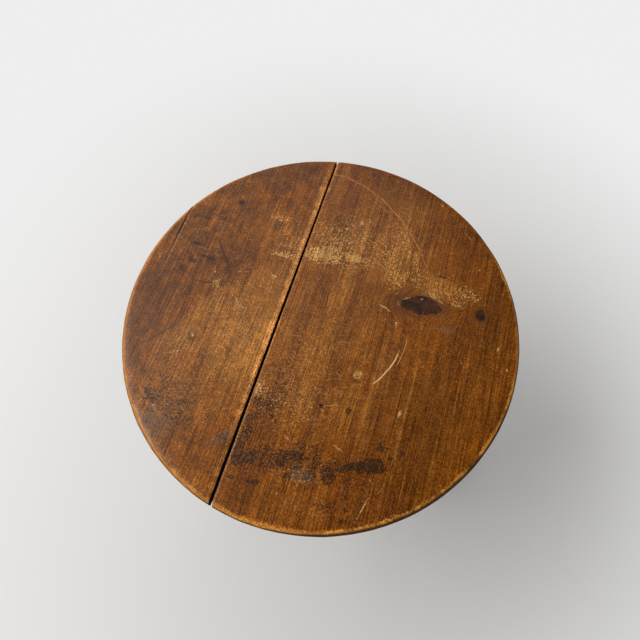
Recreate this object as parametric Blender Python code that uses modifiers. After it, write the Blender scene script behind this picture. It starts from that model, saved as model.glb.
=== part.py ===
"""Cricket table: a round top of two boards on a joined frame with three splayed legs.

The legs are five-sided, so that the rails and stretchers meet them square in plan. Every
rail and stretcher ends in a tenon, each tenon is held in its mortise by oak pegs, and the
boards are held down by screws driven up through pockets in the rails.

Metres, +Z up. The origin is on the floor below the middle of the top. Y runs along the
grain of the top boards and X across it.
"""

from math import atan, cos, radians, sin, sqrt

import bmesh
import bpy
from mathutils import Matrix, Vector

# Top: an oval, because old boards shrink across the grain
TABLE_HEIGHT = 0.700
TOP_LENGTH = 0.660
TOP_WIDTH = 0.651
TOP_THICKNESS = 0.024
RIM_UPPER_ROUND = 0.0095
RIM_LOWER_ROUND = 0.0030
RIM_FACETS = 112
RIM_STEPS = 5

# Open joint between the two boards, wider at the near end
NARROW_BOARD_WIDTH = 0.2595
JOINT_GAP_FAR = 0.0028
JOINT_GAP_NEAR = 0.0047
JOINT_UPPER_ARRIS = 0.0012
JOINT_LOWER_ARRIS = 0.0003

# Split that runs in from the rim of the narrow board, along the grain
SPLIT_FROM_EDGE = 0.0359
SPLIT_LENGTH = 0.105
SPLIT_MOUTH = 0.0022
SPLIT_TIP = 0.0004

# Legs: five-sided section, parallel behind the frieze and tapered below it
LEG_TOP_REACH = 0.238
LEG_FOOT_REACH = 0.314
LEG_INNER_FACE = 0.040
LEG_SIDE_FACE = 0.036
LEG_FOOT_FACE = 0.028
LEG_ARRIS = 0.0025
KNEE_DROP = 0.010

# Frieze rails, canted with the splay of the legs
FRIEZE_DEPTH = 0.086
FRIEZE_THICKNESS = 0.020
FRIEZE_SETBACK = 0.004
FRIEZE_ARRIS = 0.0018
FRIEZE_TENON_THICKNESS = 0.009
FRIEZE_TENON_TOP = 0.020
FRIEZE_TENON_BOTTOM = 0.008

# Stretchers, upright in section
STRETCHER_LEVEL = 0.155
STRETCHER_DEPTH = 0.036
STRETCHER_THICKNESS = 0.020
STRETCHER_SETBACK = 0.002
STRETCHER_ARRIS = 0.0015
STRETCHER_TENON_THICKNESS = 0.008
STRETCHER_TENON_SHOULDER = 0.005

# Wood left round the tenons inside a leg
TENON_WEB = 0.005
TENON_COVER = 0.008

# Draw-bored oak pegs, eight-sided and tapered
PEG_RADIUS = 0.0036
PEG_TAPER = 0.0007
PEG_PROUD = 0.0010
PEG_BITE = 0.009
PEG_FACETS = 8
FRIEZE_PEG_INSET = 0.012
FRIEZE_PEG_FROM_TENON_EDGE = 0.014
STRETCHER_PEG_INSET = 0.009

# Countersunk screws in pockets on the inner faces of the frieze rails
SCREW_FROM_MIDDLE = 0.092
SCREW_LEAN = radians(20)
SCREW_RADIUS = 0.0022
SCREW_POINT = 0.008
SCREW_HEAD_RADIUS = 0.0044
SCREW_HEAD_HEIGHT = 0.0026
SCREW_COVER = 0.007
POCKET_SEAT = 0.022
POCKET_RADIUS = 0.008
ROUND_FACETS = 16

# Edges that turn more than this are worn round, and shaded sharp where they aren't
SHARP_ANGLE = radians(32)
ARRIS_STEPS = 2

# Clearances
SEAT_GAP = 0.0003
TENON_FIT = 0.0003
PEG_FIT = 0.0003
SCREW_FIT = 0.0003

# Materials: base colour, roughness, metallic
FINISHES = {
    "stained_pine_top": ((0.165, 0.066, 0.022), 0.50, 0.0),
    "stained_pine_frame": ((0.140, 0.058, 0.020), 0.55, 0.0),
    "oak_peg": ((0.190, 0.100, 0.045), 0.60, 0.0),
    "iron_screw": ((0.090, 0.080, 0.072), 0.55, 0.9),
}

LEG_ANGLES = {"far": 90, "left": 210, "right": 330}
RAIL_TURNS = {"near": 0, "right": 120, "left": 240}
RAIL_END_LEGS = {
    "near": ("left", "right"),
    "right": ("right", "far"),
    "left": ("far", "left"),
}
# The near rail meets a leg standing on +X when it is turned by these angles
LEG_JOINT_TURNS = (30, 150)

COS_30 = cos(radians(30))
SIN_30 = sin(radians(30))
# Longer than any piece, for blanks that are trimmed and cutters that run out of a piece
LONG = 2.0

JOINT_X = NARROW_BOARD_WIDTH - TOP_WIDTH / 2
SPLIT_X = SPLIT_FROM_EDGE - TOP_WIDTH / 2
UNDERSIDE_Z = TABLE_HEIGHT - TOP_THICKNESS
FRAME_Z = UNDERSIDE_Z - SEAT_GAP
KNEE_Z = FRAME_Z - FRIEZE_DEPTH - KNEE_DROP
SPLAY = (LEG_FOOT_REACH - LEG_TOP_REACH) / FRAME_Z
FOOT_SHARE = LEG_FOOT_FACE / LEG_INNER_FACE
LEG_DEPTH = LEG_INNER_FACE * SIN_30 + LEG_SIDE_FACE * COS_30
LEG_FRONT_HALF = LEG_INNER_FACE * COS_30 - LEG_SIDE_FACE * SIN_30


# Scene helpers


def clear_scene():
    for obj in list(bpy.data.objects):
        bpy.data.objects.remove(obj, do_unlink=True)


def new_collection(name):
    collection = bpy.data.collections.new(name)
    bpy.context.scene.collection.children.link(collection)
    return collection


def finish_material(name):
    colour, roughness, metallic = FINISHES[name]
    material = bpy.data.materials.new(name)
    material.use_nodes = True
    shader = material.node_tree.nodes["Principled BSDF"]
    shader.inputs["Base Color"].default_value = (*colour, 1.0)
    shader.inputs["Roughness"].default_value = roughness
    shader.inputs["Metallic"].default_value = metallic
    material.diffuse_color = (*colour, 1.0)
    return material


def mesh_from(bm, name):
    mesh = bpy.data.meshes.new(name)
    bmesh.ops.recalc_face_normals(bm, faces=bm.faces)
    bm.to_mesh(mesh)
    bm.free()
    return mesh


def add_part(name, mesh, material, matrix=None):
    """A visible piece of the table, under the table's empty."""
    if material.name not in mesh.materials:
        mesh.materials.append(material)
    part = bpy.data.objects.new(name, mesh)
    PARTS.objects.link(part)
    part.parent = TABLE
    part.matrix_world = matrix or Matrix.Identity(4)
    return part


def add_cutter(name, mesh, matrix=None):
    """A hidden helper: a cutter, or a blank that the cutters work on."""
    cutter = bpy.data.objects.new(name, mesh)
    CUTTERS.objects.link(cutter)
    cutter.matrix_world = matrix or Matrix.Identity(4)
    cutter.hide_render = True
    cutter.display_type = "WIRE"
    return cutter


def bevel(part, width, segments, limit):
    modifier = part.modifiers.new("worn_edges", "BEVEL")
    modifier.width = width
    modifier.segments = segments
    modifier.limit_method = limit
    modifier.angle_limit = SHARP_ANGLE


def boolean(part, other, operation="DIFFERENCE"):
    modifier = part.modifiers.new(other.name, "BOOLEAN")
    modifier.object = other
    modifier.operation = operation


def worked_mesh(part, name):
    """The part's mesh with its modifiers applied, in its own frame, shaded round."""
    bpy.context.view_layer.update()
    graph = bpy.context.evaluated_depsgraph_get()
    mesh = bpy.data.meshes.new_from_object(part.evaluated_get(graph))
    mesh.name = name
    mesh.shade_smooth()
    mesh.set_sharp_from_angle(angle=SHARP_ANGLE)
    return mesh


# Shape helpers


def block(low, high, frame=None):
    """A box between two corners, given in a frame's axes."""
    bm = bmesh.new()
    bmesh.ops.create_cube(bm, size=1.0)
    low, high = Vector(low), Vector(high)
    for vertex in bm.verts:
        share = vertex.co + Vector((0.5, 0.5, 0.5))
        vertex.co = low + Vector(a * b for a, b in zip(share, high - low))
    bmesh.ops.transform(bm, matrix=frame or Matrix.Identity(4), verts=bm.verts)
    return bm


def trim(bm, point, normal):
    """Cuts away what lies beyond a plane, and closes the cut."""
    geometry = bm.verts[:] + bm.edges[:] + bm.faces[:]
    cut = bmesh.ops.bisect_plane(
        bm, geom=geometry, plane_co=point, plane_no=normal, clear_outer=True
    )
    edges = [item for item in cut["geom_cut"] if isinstance(item, bmesh.types.BMEdge)]
    bmesh.ops.edgeloop_fill(bm, edges=edges)


def rod(radius_start, radius_end, length, facets):
    """A round or faceted rod that stands on the origin along +Z."""
    bm = bmesh.new()
    bmesh.ops.create_cone(
        bm,
        cap_ends=True,
        segments=facets,
        radius1=radius_start,
        radius2=radius_end,
        depth=length,
        matrix=Matrix.Translation((0, 0, length / 2)),
    )
    return bm


def frame_from(origin, x_axis, y_axis, z_axis):
    turn = Matrix((x_axis, y_axis, z_axis)).transposed().to_4x4()
    return Matrix.Translation(origin) @ turn


def turned(degrees):
    return Matrix.Rotation(radians(degrees), 4, "Z")


# Leg geometry, shared by the legs and by everything that is jointed into them


def leg_reach(z):
    """Distance from the table's axis to the outer face of a leg."""
    return LEG_FOOT_REACH - SPLAY * z


def leg_scale(z):
    """Size of the leg's section at a height, against its section behind the frieze."""
    return min(1.0, FOOT_SHARE + (1.0 - FOOT_SHARE) * z / KNEE_Z)


def side_distance(z):
    """Distance from the table's axis to the plane of two legs' side faces."""
    return leg_reach(z) * SIN_30 + leg_scale(z) * LEG_FRONT_HALF * COS_30


def shoulder_half(z):
    """Half of the clear distance between two legs' inner faces."""
    return COS_30 * (leg_reach(z) - leg_scale(z) * LEG_DEPTH)


def leg_outline():
    """The five corners of the section, measured inwards from the outer face."""
    shoulder_x = -LEG_SIDE_FACE * COS_30
    shoulder_y = LEG_FRONT_HALF + LEG_SIDE_FACE * SIN_30
    return [
        (0, -LEG_FRONT_HALF),
        (0, LEG_FRONT_HALF),
        (shoulder_x, shoulder_y),
        (-LEG_DEPTH, 0),
        (shoulder_x, -shoulder_y),
    ]


def leg_blank():
    """A leg that stands towards +X: one outline, drawn up in two stages."""
    bm = bmesh.new()
    outline = leg_outline()
    foot = [
        bm.verts.new((leg_reach(0) + FOOT_SHARE * x, FOOT_SHARE * y, 0))
        for x, y in outline
    ]
    end = bm.faces.new(foot)
    for z in (KNEE_Z, FRAME_Z):
        drawn = bmesh.ops.extrude_face_region(bm, geom=[end, *end.edges])
        end = next(f for f in drawn["geom"] if isinstance(f, bmesh.types.BMFace))
        for vertex, (x, y) in zip(end.verts, outline):
            vertex.co = (leg_reach(z) + leg_scale(z) * x, leg_scale(z) * y, z)
    return bm


class Joint:
    """How one kind of rail ends: its frame, shoulders, tenons and pegs.

    The frame is that of the near rail: x along it, y towards its inner face, z up its face.
    """

    def __init__(
        self, level, cant, thickness, setback, tenon, tenon_low, tenon_high, peg_inset
    ):
        outward = Vector((0, -cos(cant), sin(cant)))
        upward = Vector((0, sin(cant), cos(cant)))
        on_legs = Vector((0, -side_distance(level), level))
        self.half_thickness = thickness / 2
        self.side_face = self.half_thickness + setback
        origin = on_legs - outward * self.side_face
        self.frame = frame_from(origin, Vector((1, 0, 0)), -outward, upward)
        self.tenon = tenon
        self.tenon_low = tenon_low
        self.tenon_high = tenon_high
        self.middle_z = level + (tenon_low + tenon_high) / 2
        inner_face = leg_scale(self.middle_z) * LEG_INNER_FACE
        near_cheek = inner_face - self.side_face - tenon / 2
        by_web = (near_cheek * COS_30 - TENON_WEB / 2) / SIN_30
        far_cheek = near_cheek + tenon
        depth = leg_scale(self.middle_z) * LEG_DEPTH
        by_cover = (depth - TENON_COVER - far_cheek * SIN_30) / COS_30
        self.tip = shoulder_half(self.middle_z) + min(by_web, by_cover)
        self.peg_inset = peg_inset
        past_web = (peg_inset + PEG_RADIUS + PEG_FIT) * SIN_30 + TENON_WEB / 2
        self.peg_bite = min(PEG_BITE, near_cheek - past_web / COS_30)

    def shoulder_plane(self):
        """A point on the right-hand shoulder, and the way it faces."""
        z = self.middle_z
        half_height = (self.tenon_high - self.tenon_low) / 2
        below, above = shoulder_half(z - half_height), shoulder_half(z + half_height)
        lean = (above - below) / (2 * half_height)
        return Vector((shoulder_half(z) - SEAT_GAP, 0, z)), Vector((1, 0, -lean))

    def tenons(self, fit=0.0):
        """Both tenons as one bar that runs the length of the rail."""
        half = self.tenon / 2 + fit
        low = (-self.tip - fit, -half, self.tenon_low - fit)
        high = (self.tip + fit, half, self.tenon_high + fit)
        return block(low, high, self.frame)

    def peg_matrix(self, end, up):
        """Where a peg starts: at its proud outer end, pointing into the leg."""
        z = (self.frame @ Vector((0, 0, up))).z
        along = end * (shoulder_half(z) + self.peg_inset)
        outer = Vector((along, -self.side_face - PEG_PROUD, up))
        into_leg = Matrix.Rotation(radians(-90), 4, "X")
        return self.frame @ Matrix.Translation(outer) @ into_leg

    def peg_length(self):
        return PEG_PROUD + self.side_face + self.tenon / 2 + self.peg_bite


FRIEZE = Joint(
    level=FRAME_Z,
    cant=atan(SPLAY * SIN_30),
    thickness=FRIEZE_THICKNESS,
    setback=FRIEZE_SETBACK,
    tenon=FRIEZE_TENON_THICKNESS,
    tenon_low=-FRIEZE_DEPTH + FRIEZE_TENON_BOTTOM,
    tenon_high=-FRIEZE_TENON_TOP,
    peg_inset=FRIEZE_PEG_INSET,
)
STRETCHER = Joint(
    level=STRETCHER_LEVEL,
    cant=0.0,
    thickness=STRETCHER_THICKNESS,
    setback=STRETCHER_SETBACK,
    tenon=STRETCHER_TENON_THICKNESS,
    tenon_low=-STRETCHER_DEPTH / 2 + STRETCHER_TENON_SHOULDER,
    tenon_high=STRETCHER_DEPTH / 2 - STRETCHER_TENON_SHOULDER,
    peg_inset=STRETCHER_PEG_INSET,
)
FRIEZE_PEG_LEVELS = {
    "upper": FRIEZE.tenon_high - FRIEZE_PEG_FROM_TENON_EDGE,
    "lower": FRIEZE.tenon_low + FRIEZE_PEG_FROM_TENON_EDGE,
}
RAIL_ENDS = (-1, 1)


# Pegs and screws


def frieze_peg_places():
    """(end of the near rail, level, matrix) of its four pegs."""
    return [
        (end, level, FRIEZE.peg_matrix(end, up))
        for end in RAIL_ENDS
        for level, up in FRIEZE_PEG_LEVELS.items()
    ]


def stretcher_peg_places():
    return [(end, STRETCHER.peg_matrix(end, 0.0)) for end in RAIL_ENDS]


def peg_mesh(joint, name):
    bm = rod(PEG_RADIUS, PEG_RADIUS - PEG_TAPER, joint.peg_length(), PEG_FACETS)
    return mesh_from(bm, name)


def peg_hole_mesh(joint):
    bore = PEG_RADIUS + PEG_FIT
    bm = rod(bore, bore, joint.peg_length() + PEG_FIT, ROUND_FACETS)
    return mesh_from(bm, "peg_hole")


def screw_mesh(name, fit=0.0):
    """A countersunk screw, turned about +Z, with its head's face on the origin."""
    radius = SCREW_RADIUS + fit
    tip = screw_length() + fit
    profile = [
        (0, tip),
        (radius, tip - SCREW_POINT),
        (radius, SCREW_HEAD_HEIGHT),
        (SCREW_HEAD_RADIUS + 2 * fit, -fit),
        (0, -fit),
    ]
    mesh = bpy.data.meshes.new(name)
    points = [(x, 0, z) for x, z in profile]
    mesh.from_pydata(points, [(i, i + 1) for i in range(len(points) - 1)], [])
    lathe = bpy.data.objects.new(name, mesh)
    CUTTERS.objects.link(lathe)
    screw = lathe.modifiers.new("turn", "SCREW")
    screw.steps = screw.render_steps = ROUND_FACETS
    screw.use_merge_vertices = True
    screw.merge_threshold = 0.00001
    turned_mesh = worked_mesh(lathe, name)
    bpy.data.objects.remove(lathe, do_unlink=True)
    return turned_mesh


def screw_length():
    """From the pocket's seat to the point, short of the upper face of the top."""
    in_board = (TOP_THICKNESS + SEAT_GAP - SCREW_COVER) / cos(SCREW_LEAN)
    return POCKET_SEAT + in_board


def screw_places():
    """Matrices of the near rail's two screws: on the seat, leaning out as they rise."""
    places = []
    for end in RAIL_ENDS:
        top_edge = FRIEZE.frame @ Vector((end * SCREW_FROM_MIDDLE, 0, 0))
        lean = Matrix.Rotation(SCREW_LEAN, 4, "X")
        down = Matrix.Translation((0, 0, -POCKET_SEAT))
        places.append(Matrix.Translation(top_edge) @ lean @ down)
    return places


# Pieces


def rail_blank(joint, low_z, high_z):
    """A rail between its two shoulders, square on its faces and level on its edges."""
    reach = LONG / 2
    bm = block(
        (-reach, -joint.half_thickness, -reach),
        (reach, joint.half_thickness, reach),
        joint.frame,
    )
    trim(bm, Vector((0, 0, high_z)), Vector((0, 0, 1)))
    trim(bm, Vector((0, 0, low_z)), Vector((0, 0, -1)))
    point, normal = joint.shoulder_plane()
    trim(bm, point, normal)
    mirror = Vector((-1, 1, 1))
    trim(bm, point * mirror, normal * mirror)
    return bm


def jointed_rail(name, joint, low_z, high_z, arris, cutters):
    """A rail with its tenons and holes, as one mesh in the near rail's place."""
    rail = add_cutter(name, mesh_from(rail_blank(joint, low_z, high_z), name))
    bevel(rail, arris, ARRIS_STEPS, "ANGLE")
    tenons = add_cutter(name + "_tenons", mesh_from(joint.tenons(), name + "_tenons"))
    boolean(rail, tenons, "UNION")
    for cutter in cutters:
        boolean(rail, cutter)
    return worked_mesh(rail, name)


def make_frieze_rails(material):
    hole = peg_hole_mesh(FRIEZE)
    cutters = [add_cutter("peg_hole", hole, place) for *_, place in frieze_peg_places()]
    clearance = screw_mesh("screw_hole", SCREW_FIT)
    pocket = mesh_from(rod(POCKET_RADIUS, POCKET_RADIUS, LONG / 4, ROUND_FACETS), "pocket")
    downward = Matrix.Rotation(radians(180), 4, "X")
    for place in screw_places():
        cutters.append(add_cutter("screw_hole", clearance, place))
        cutters.append(add_cutter("pocket", pocket, place @ downward))
    mesh = jointed_rail(
        "frieze_rail", FRIEZE, FRAME_Z - FRIEZE_DEPTH, FRAME_Z, FRIEZE_ARRIS, cutters
    )
    for name, turn in RAIL_TURNS.items():
        add_part("frieze_rail_" + name, mesh, material, turned(turn))


def make_stretchers(material):
    hole = peg_hole_mesh(STRETCHER)
    cutters = [add_cutter("peg_hole", hole, place) for _, place in stretcher_peg_places()]
    half = STRETCHER_DEPTH / 2
    low_z, high_z = STRETCHER_LEVEL - half, STRETCHER_LEVEL + half
    mesh = jointed_rail("stretcher", STRETCHER, low_z, high_z, STRETCHER_ARRIS, cutters)
    for name, turn in RAIL_TURNS.items():
        add_part("stretcher_" + name, mesh, material, turned(turn))


def make_legs(material):
    leg = add_cutter("leg", mesh_from(leg_blank(), "leg"))
    bevel(leg, LEG_ARRIS, ARRIS_STEPS, "ANGLE")
    for joint, places in (
        (FRIEZE, [place for *_, place in frieze_peg_places()]),
        (STRETCHER, [place for _, place in stretcher_peg_places()]),
    ):
        mortise = mesh_from(joint.tenons(TENON_FIT), "mortise")
        hole = peg_hole_mesh(joint)
        for turn in LEG_JOINT_TURNS:
            boolean(leg, add_cutter("mortise", mortise, turned(turn)))
            for place in places:
                at_this_leg = turned(turn) @ place
                if at_this_leg.translation.x > 0:
                    boolean(leg, add_cutter("peg_hole", hole, at_this_leg))
    mesh = worked_mesh(leg, "leg")
    for name, angle in LEG_ANGLES.items():
        add_part("leg_" + name, mesh, material, turned(angle))


def make_pegs(material):
    frieze_peg = peg_mesh(FRIEZE, "frieze_peg")
    stretcher_peg = peg_mesh(STRETCHER, "stretcher_peg")
    for rail, turn in RAIL_TURNS.items():
        for end, level, place in frieze_peg_places():
            leg = RAIL_END_LEGS[rail][RAIL_ENDS.index(end)]
            name = f"frieze_{rail}_peg_{level}_in_leg_{leg}"
            add_part(name, frieze_peg, material, turned(turn) @ place)
        for end, place in stretcher_peg_places():
            leg = RAIL_END_LEGS[rail][RAIL_ENDS.index(end)]
            name = f"stretcher_{rail}_peg_in_leg_{leg}"
            add_part(name, stretcher_peg, material, turned(turn) @ place)


def make_screws(material):
    mesh = screw_mesh("top_screw")
    for rail, turn in RAIL_TURNS.items():
        for end, place in zip(RAIL_ENDS, screw_places()):
            leg = RAIL_END_LEGS[rail][RAIL_ENDS.index(end)]
            name = f"top_screw_{rail}_rail_by_leg_{leg}"
            add_part(name, mesh, material, turned(turn) @ place)


def board_blank(side):
    """The top's oval, sawn off along the joint. side is 1 for the wide board, on +X."""
    bm = bmesh.new()
    bmesh.ops.create_cone(
        bm,
        cap_ends=True,
        segments=RIM_FACETS,
        radius1=0.5,
        radius2=0.5,
        depth=1.0,
        matrix=Matrix.Translation((0, 0, UNDERSIDE_Z + TOP_THICKNESS / 2))
        @ Matrix.Diagonal((TOP_WIDTH, TOP_LENGTH, TOP_THICKNESS, 1)),
    )
    gap = (JOINT_GAP_FAR + JOINT_GAP_NEAR) / 2
    taper = (JOINT_GAP_FAR - JOINT_GAP_NEAR) / 2 / TOP_LENGTH
    point = Vector((JOINT_X + side * gap / 2, 0, 0))
    trim(bm, point, Vector((-side, taper, 0)))
    return bm


def weigh_edges(bm, side):
    """Marks how far each long edge of a board is rounded, as a share of the upper rim."""
    weights = bm.edges.layers.float.new("bevel_weight_edge")
    middle = UNDERSIDE_Z + TOP_THICKNESS / 2
    for edge in bm.edges:
        uprights = [face for face in edge.link_faces if abs(face.normal.z) < 0.5]
        if len(uprights) != 1:
            continue
        faces_joint = uprights[0].normal.x * side < -0.9
        if edge.verts[0].co.z > middle:
            worn = JOINT_UPPER_ARRIS if faces_joint else RIM_UPPER_ROUND
        else:
            worn = JOINT_LOWER_ARRIS if faces_joint else RIM_LOWER_ROUND
        edge[weights] = worn / RIM_UPPER_ROUND


def rim_y(x):
    """How far along the grain the rim lies at a distance across it."""
    return TOP_LENGTH / 2 * sqrt(1 - (2 * x / TOP_WIDTH) ** 2)


def split_cutter():
    """A wedge that is widest at the rim and runs in along the grain."""
    mouth_y = rim_y(SPLIT_X)
    length = SPLIT_LENGTH
    bm = block((-0.5, -length, -LONG / 2), (0.5, length, LONG / 2))
    for vertex in bm.verts:
        at_tip = vertex.co.y < 0
        vertex.co.x *= SPLIT_TIP if at_tip else 2 * SPLIT_MOUTH - SPLIT_TIP
    bmesh.ops.translate(bm, verts=bm.verts, vec=(SPLIT_X, mouth_y, UNDERSIDE_Z))
    return add_cutter("split", mesh_from(bm, "split"))


def make_boards(material):
    clearance = screw_mesh("pilot_hole", SCREW_FIT)
    pilots = [
        add_cutter("pilot_hole", clearance, turned(turn) @ place)
        for turn in RAIL_TURNS.values()
        for place in screw_places()
    ]
    for name, side in (("top_board_wide", 1), ("top_board_narrow", -1)):
        bm = board_blank(side)
        bm.normal_update()
        weigh_edges(bm, side)
        board = add_cutter(name + "_blank", mesh_from(bm, name))
        bevel(board, RIM_UPPER_ROUND, RIM_STEPS, "WEIGHT")
        if side < 0:
            boolean(board, split_cutter())
        for pilot in pilots:
            boolean(board, pilot)
        add_part(name, worked_mesh(board, name), material)


clear_scene()
PARTS = new_collection("cricket_table")
CUTTERS = new_collection("blanks_and_cutters")
TABLE = bpy.data.objects.new("cricket_table", None)
PARTS.objects.link(TABLE)
MATERIALS = {name: finish_material(name) for name in FINISHES}

make_boards(MATERIALS["stained_pine_top"])
make_legs(MATERIALS["stained_pine_frame"])
make_frieze_rails(MATERIALS["stained_pine_frame"])
make_stretchers(MATERIALS["stained_pine_frame"])
make_pegs(MATERIALS["oak_peg"])
make_screws(MATERIALS["iron_screw"])
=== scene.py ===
# %% [markdown]
# # A cricket table, dressed
#
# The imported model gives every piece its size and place. This lesson adds what a camera sees:
# the worn round top with its open joint, split, knots, rings and stains, and the waxed pine
# of the frame below it. Each step says what the thing is on a real table before it is made.

# %% Load the frame
import math
from collections import namedtuple

import bmesh
import bpy
from mathutils import Matrix, Vector


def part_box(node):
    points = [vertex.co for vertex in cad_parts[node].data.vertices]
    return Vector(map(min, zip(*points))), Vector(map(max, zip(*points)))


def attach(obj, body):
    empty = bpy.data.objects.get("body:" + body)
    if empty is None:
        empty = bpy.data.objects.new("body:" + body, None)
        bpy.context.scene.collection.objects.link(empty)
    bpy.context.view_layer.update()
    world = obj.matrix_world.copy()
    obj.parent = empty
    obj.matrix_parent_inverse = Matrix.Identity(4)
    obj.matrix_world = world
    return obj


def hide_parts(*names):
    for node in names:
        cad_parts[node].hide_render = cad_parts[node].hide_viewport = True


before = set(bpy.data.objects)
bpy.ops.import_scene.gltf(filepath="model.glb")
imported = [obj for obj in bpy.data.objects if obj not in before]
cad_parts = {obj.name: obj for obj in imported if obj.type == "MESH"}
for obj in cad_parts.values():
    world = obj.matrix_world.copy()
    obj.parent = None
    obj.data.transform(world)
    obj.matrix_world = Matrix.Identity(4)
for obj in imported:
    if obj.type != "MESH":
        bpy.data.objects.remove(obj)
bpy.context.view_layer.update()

# %% [markdown]
# ## Camera
#
# The photograph looks down on the table from standing height. A camera could be placed by
# eye, but the rim's oval tells more. Fitting it gives a camera about 0.74 m above the top and
# 0.31 m in front of its middle, turned 17 degrees from the grain, with a lens like a phone's
# and no roll. Its shift is under a pixel, because the photograph was cropped a little off
# its middle.

# %% Camera
WIDE_LOW, WIDE_HIGH = (Vector(corner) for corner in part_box("top_board_wide"))
NARROW_LOW, NARROW_HIGH = (Vector(corner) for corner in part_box("top_board_narrow"))
TOP_Z = WIDE_HIGH.z
HALF_ALONG = WIDE_HIGH.y

CAMERA_TURN = math.radians(17.2)
CAMERA_DIP = math.radians(67.27)
CAMERA_BACK = 0.9466 * HALF_ALONG
CAMERA_RISE = 2.2273 * HALF_ALONG
SENSOR_WIDTH = 36.0
FOCAL_PIXELS = 486.0
PHOTO_PIXELS = 640.0
CROP_RIGHT = -0.9
CROP_UP = 0.6

bpy.ops.object.camera_add(
    location=(
        CAMERA_BACK * math.sin(CAMERA_TURN),
        -CAMERA_BACK * math.cos(CAMERA_TURN),
        TOP_Z + CAMERA_RISE,
    ),
    rotation=(math.pi / 2 - CAMERA_DIP, 0, CAMERA_TURN),
)
camera = bpy.context.object
camera.data.sensor_width = SENSOR_WIDTH
camera.data.lens = SENSOR_WIDTH * FOCAL_PIXELS / PHOTO_PIXELS
camera.data.shift_x = CROP_RIGHT / PHOTO_PIXELS
camera.data.shift_y = CROP_UP / PHOTO_PIXELS
bpy.context.scene.camera = camera
bpy.context.scene.view_settings.view_transform = "Standard"
print("camera at", tuple(round(value, 3) for value in camera.location))

# %% [markdown]
# ## Node helpers
#
# Every finish below is a small tree of shader nodes. By hand they are dragged together in the
# node editor. In code each takes several lines, so these helpers add a node, set or link its
# sockets by name, and start a material. Each finish then reads as a short recipe.

# %% Node helpers


def plug(tree, socket, value):
    """Links a socket to a node's output, or sets a constant on it."""
    if isinstance(value, bpy.types.NodeSocket):
        tree.links.new(value, socket)
    else:
        socket.default_value = value


def add_node(tree, kind, inputs=(), **settings):
    node = tree.nodes.new("ShaderNode" + kind)
    for name, value in settings.items():
        setattr(node, name, value)
    for key, value in dict(inputs).items():
        plug(tree, node.inputs[key], value)
    return node


def calc(tree, operation, *values):
    """One Math node. Returns its output."""
    return add_node(tree, "Math", enumerate(values), operation=operation).outputs[0]


def ramp(tree, value, low, high, to_low=0.0, to_high=1.0):
    """A smooth step from to_low at low to to_high at high. It needs no clamp of its own."""
    inputs = enumerate((value, low, high, to_low, to_high))
    return add_node(
        tree, "MapRange", inputs, interpolation_type="SMOOTHSTEP", clamp=False
    ).outputs[0]


def new_material(name):
    """A material with one Principled BSDF. Returns it, its tree and the shader's inputs."""
    material = bpy.data.materials.new(name)
    material.use_nodes = True
    tree = material.node_tree
    return material, tree, tree.nodes["Principled BSDF"].inputs


print("helpers for nodes: plug, add_node, calc, ramp and new_material")

# %% [markdown]
# ## Floor and light
#
# The table stands on a plain pale floor. Away from the table the camera sees the floor run
# into the pale background, and a camera below the floor sees through it. The light is that
# of a room with a large window on the left. A sun lamp would throw hard shadows, so each lamp
# is a wide rectangle. The sheen on old wax is what tells the eye that wood is polished, so a
# second lamp stands behind, where its reflection falls on the far left of the top. A small
# third one, at the near right, lifts the shadows.

# %% Floor
FLOOR_RADIUS = 14.0
FLOOR_POINTS = 96
FLOOR_COLOUR = (0.66, 0.65, 0.635)
FLOOR_ROUGHNESS = 0.85
HAZE_FROM, HAZE_FULL = 0.4, 1.7
SKY_COLOUR = (0.86, 0.86, 0.86)

bpy.ops.object.select_all(action="DESELECT")
bpy.ops.mesh.primitive_circle_add(
    vertices=FLOOR_POINTS, radius=FLOOR_RADIUS, fill_type="NGON"
)
floor = bpy.context.object
floor.name = "floor"
floor_material, tree, shader = new_material("pale_floor")
shader["Base Color"].default_value = (*FLOOR_COLOUR, 1.0)
shader["Roughness"].default_value = FLOOR_ROUGHNESS
at = add_node(tree, "TexCoord").outputs["Object"]
far = add_node(tree, "VectorMath", {0: at}, operation="LENGTH").outputs["Value"]
rays = add_node(tree, "LightPath").outputs
hazy = calc(tree, "MULTIPLY", rays["Is Camera Ray"], ramp(tree, far, HAZE_FROM, HAZE_FULL))
haze = add_node(tree, "Emission", {"Color": (*SKY_COLOUR, 1.0)}).outputs[0]
through = add_node(tree, "BsdfTransparent").outputs[0]
lit = tree.nodes["Principled BSDF"].outputs[0]
lit = add_node(tree, "MixShader", {0: hazy, 1: lit, 2: haze}).outputs[0]
back = add_node(tree, "NewGeometry").outputs["Backfacing"]
lit = add_node(tree, "MixShader", {0: back, 1: lit, 2: through}).outputs[0]
plug(tree, tree.nodes["Material Output"].inputs["Surface"], lit)
floor.data.materials.append(floor_material)
print("the floor fades from", HAZE_FROM, "m to", HAZE_FULL, "m from its middle")

# %% Background
SKY_STRENGTH = 0.08

world = bpy.data.worlds.new("studio")
world.use_nodes = True
tree = world.node_tree
sky = tree.nodes["Background"].inputs
sky["Color"].default_value = (*SKY_COLOUR, 1.0)
rays = add_node(tree, "LightPath").outputs
plug(tree, sky["Strength"], ramp(tree, rays["Is Camera Ray"], 0.0, 1.0, SKY_STRENGTH, 1.0))
bpy.context.scene.world = world
print("the background lights the table at", SKY_STRENGTH)

# %% Lamps
TABLE_MIDDLE = Vector((0.0, 0.0, TOP_Z))
# Of each lamp: its place, its width and height, and its power.
LAMPS = {
    "window": ((-3.0, -0.7, 3.5), (3.4, 2.6), 188.0),
    "sheen_light": ((-1.45, 1.9, 3.1), (3.6, 3.0), 56.0),
    "room_fill": ((2.4, -2.6, 1.5), (2.0, 1.2), 45.0),
}

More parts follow.
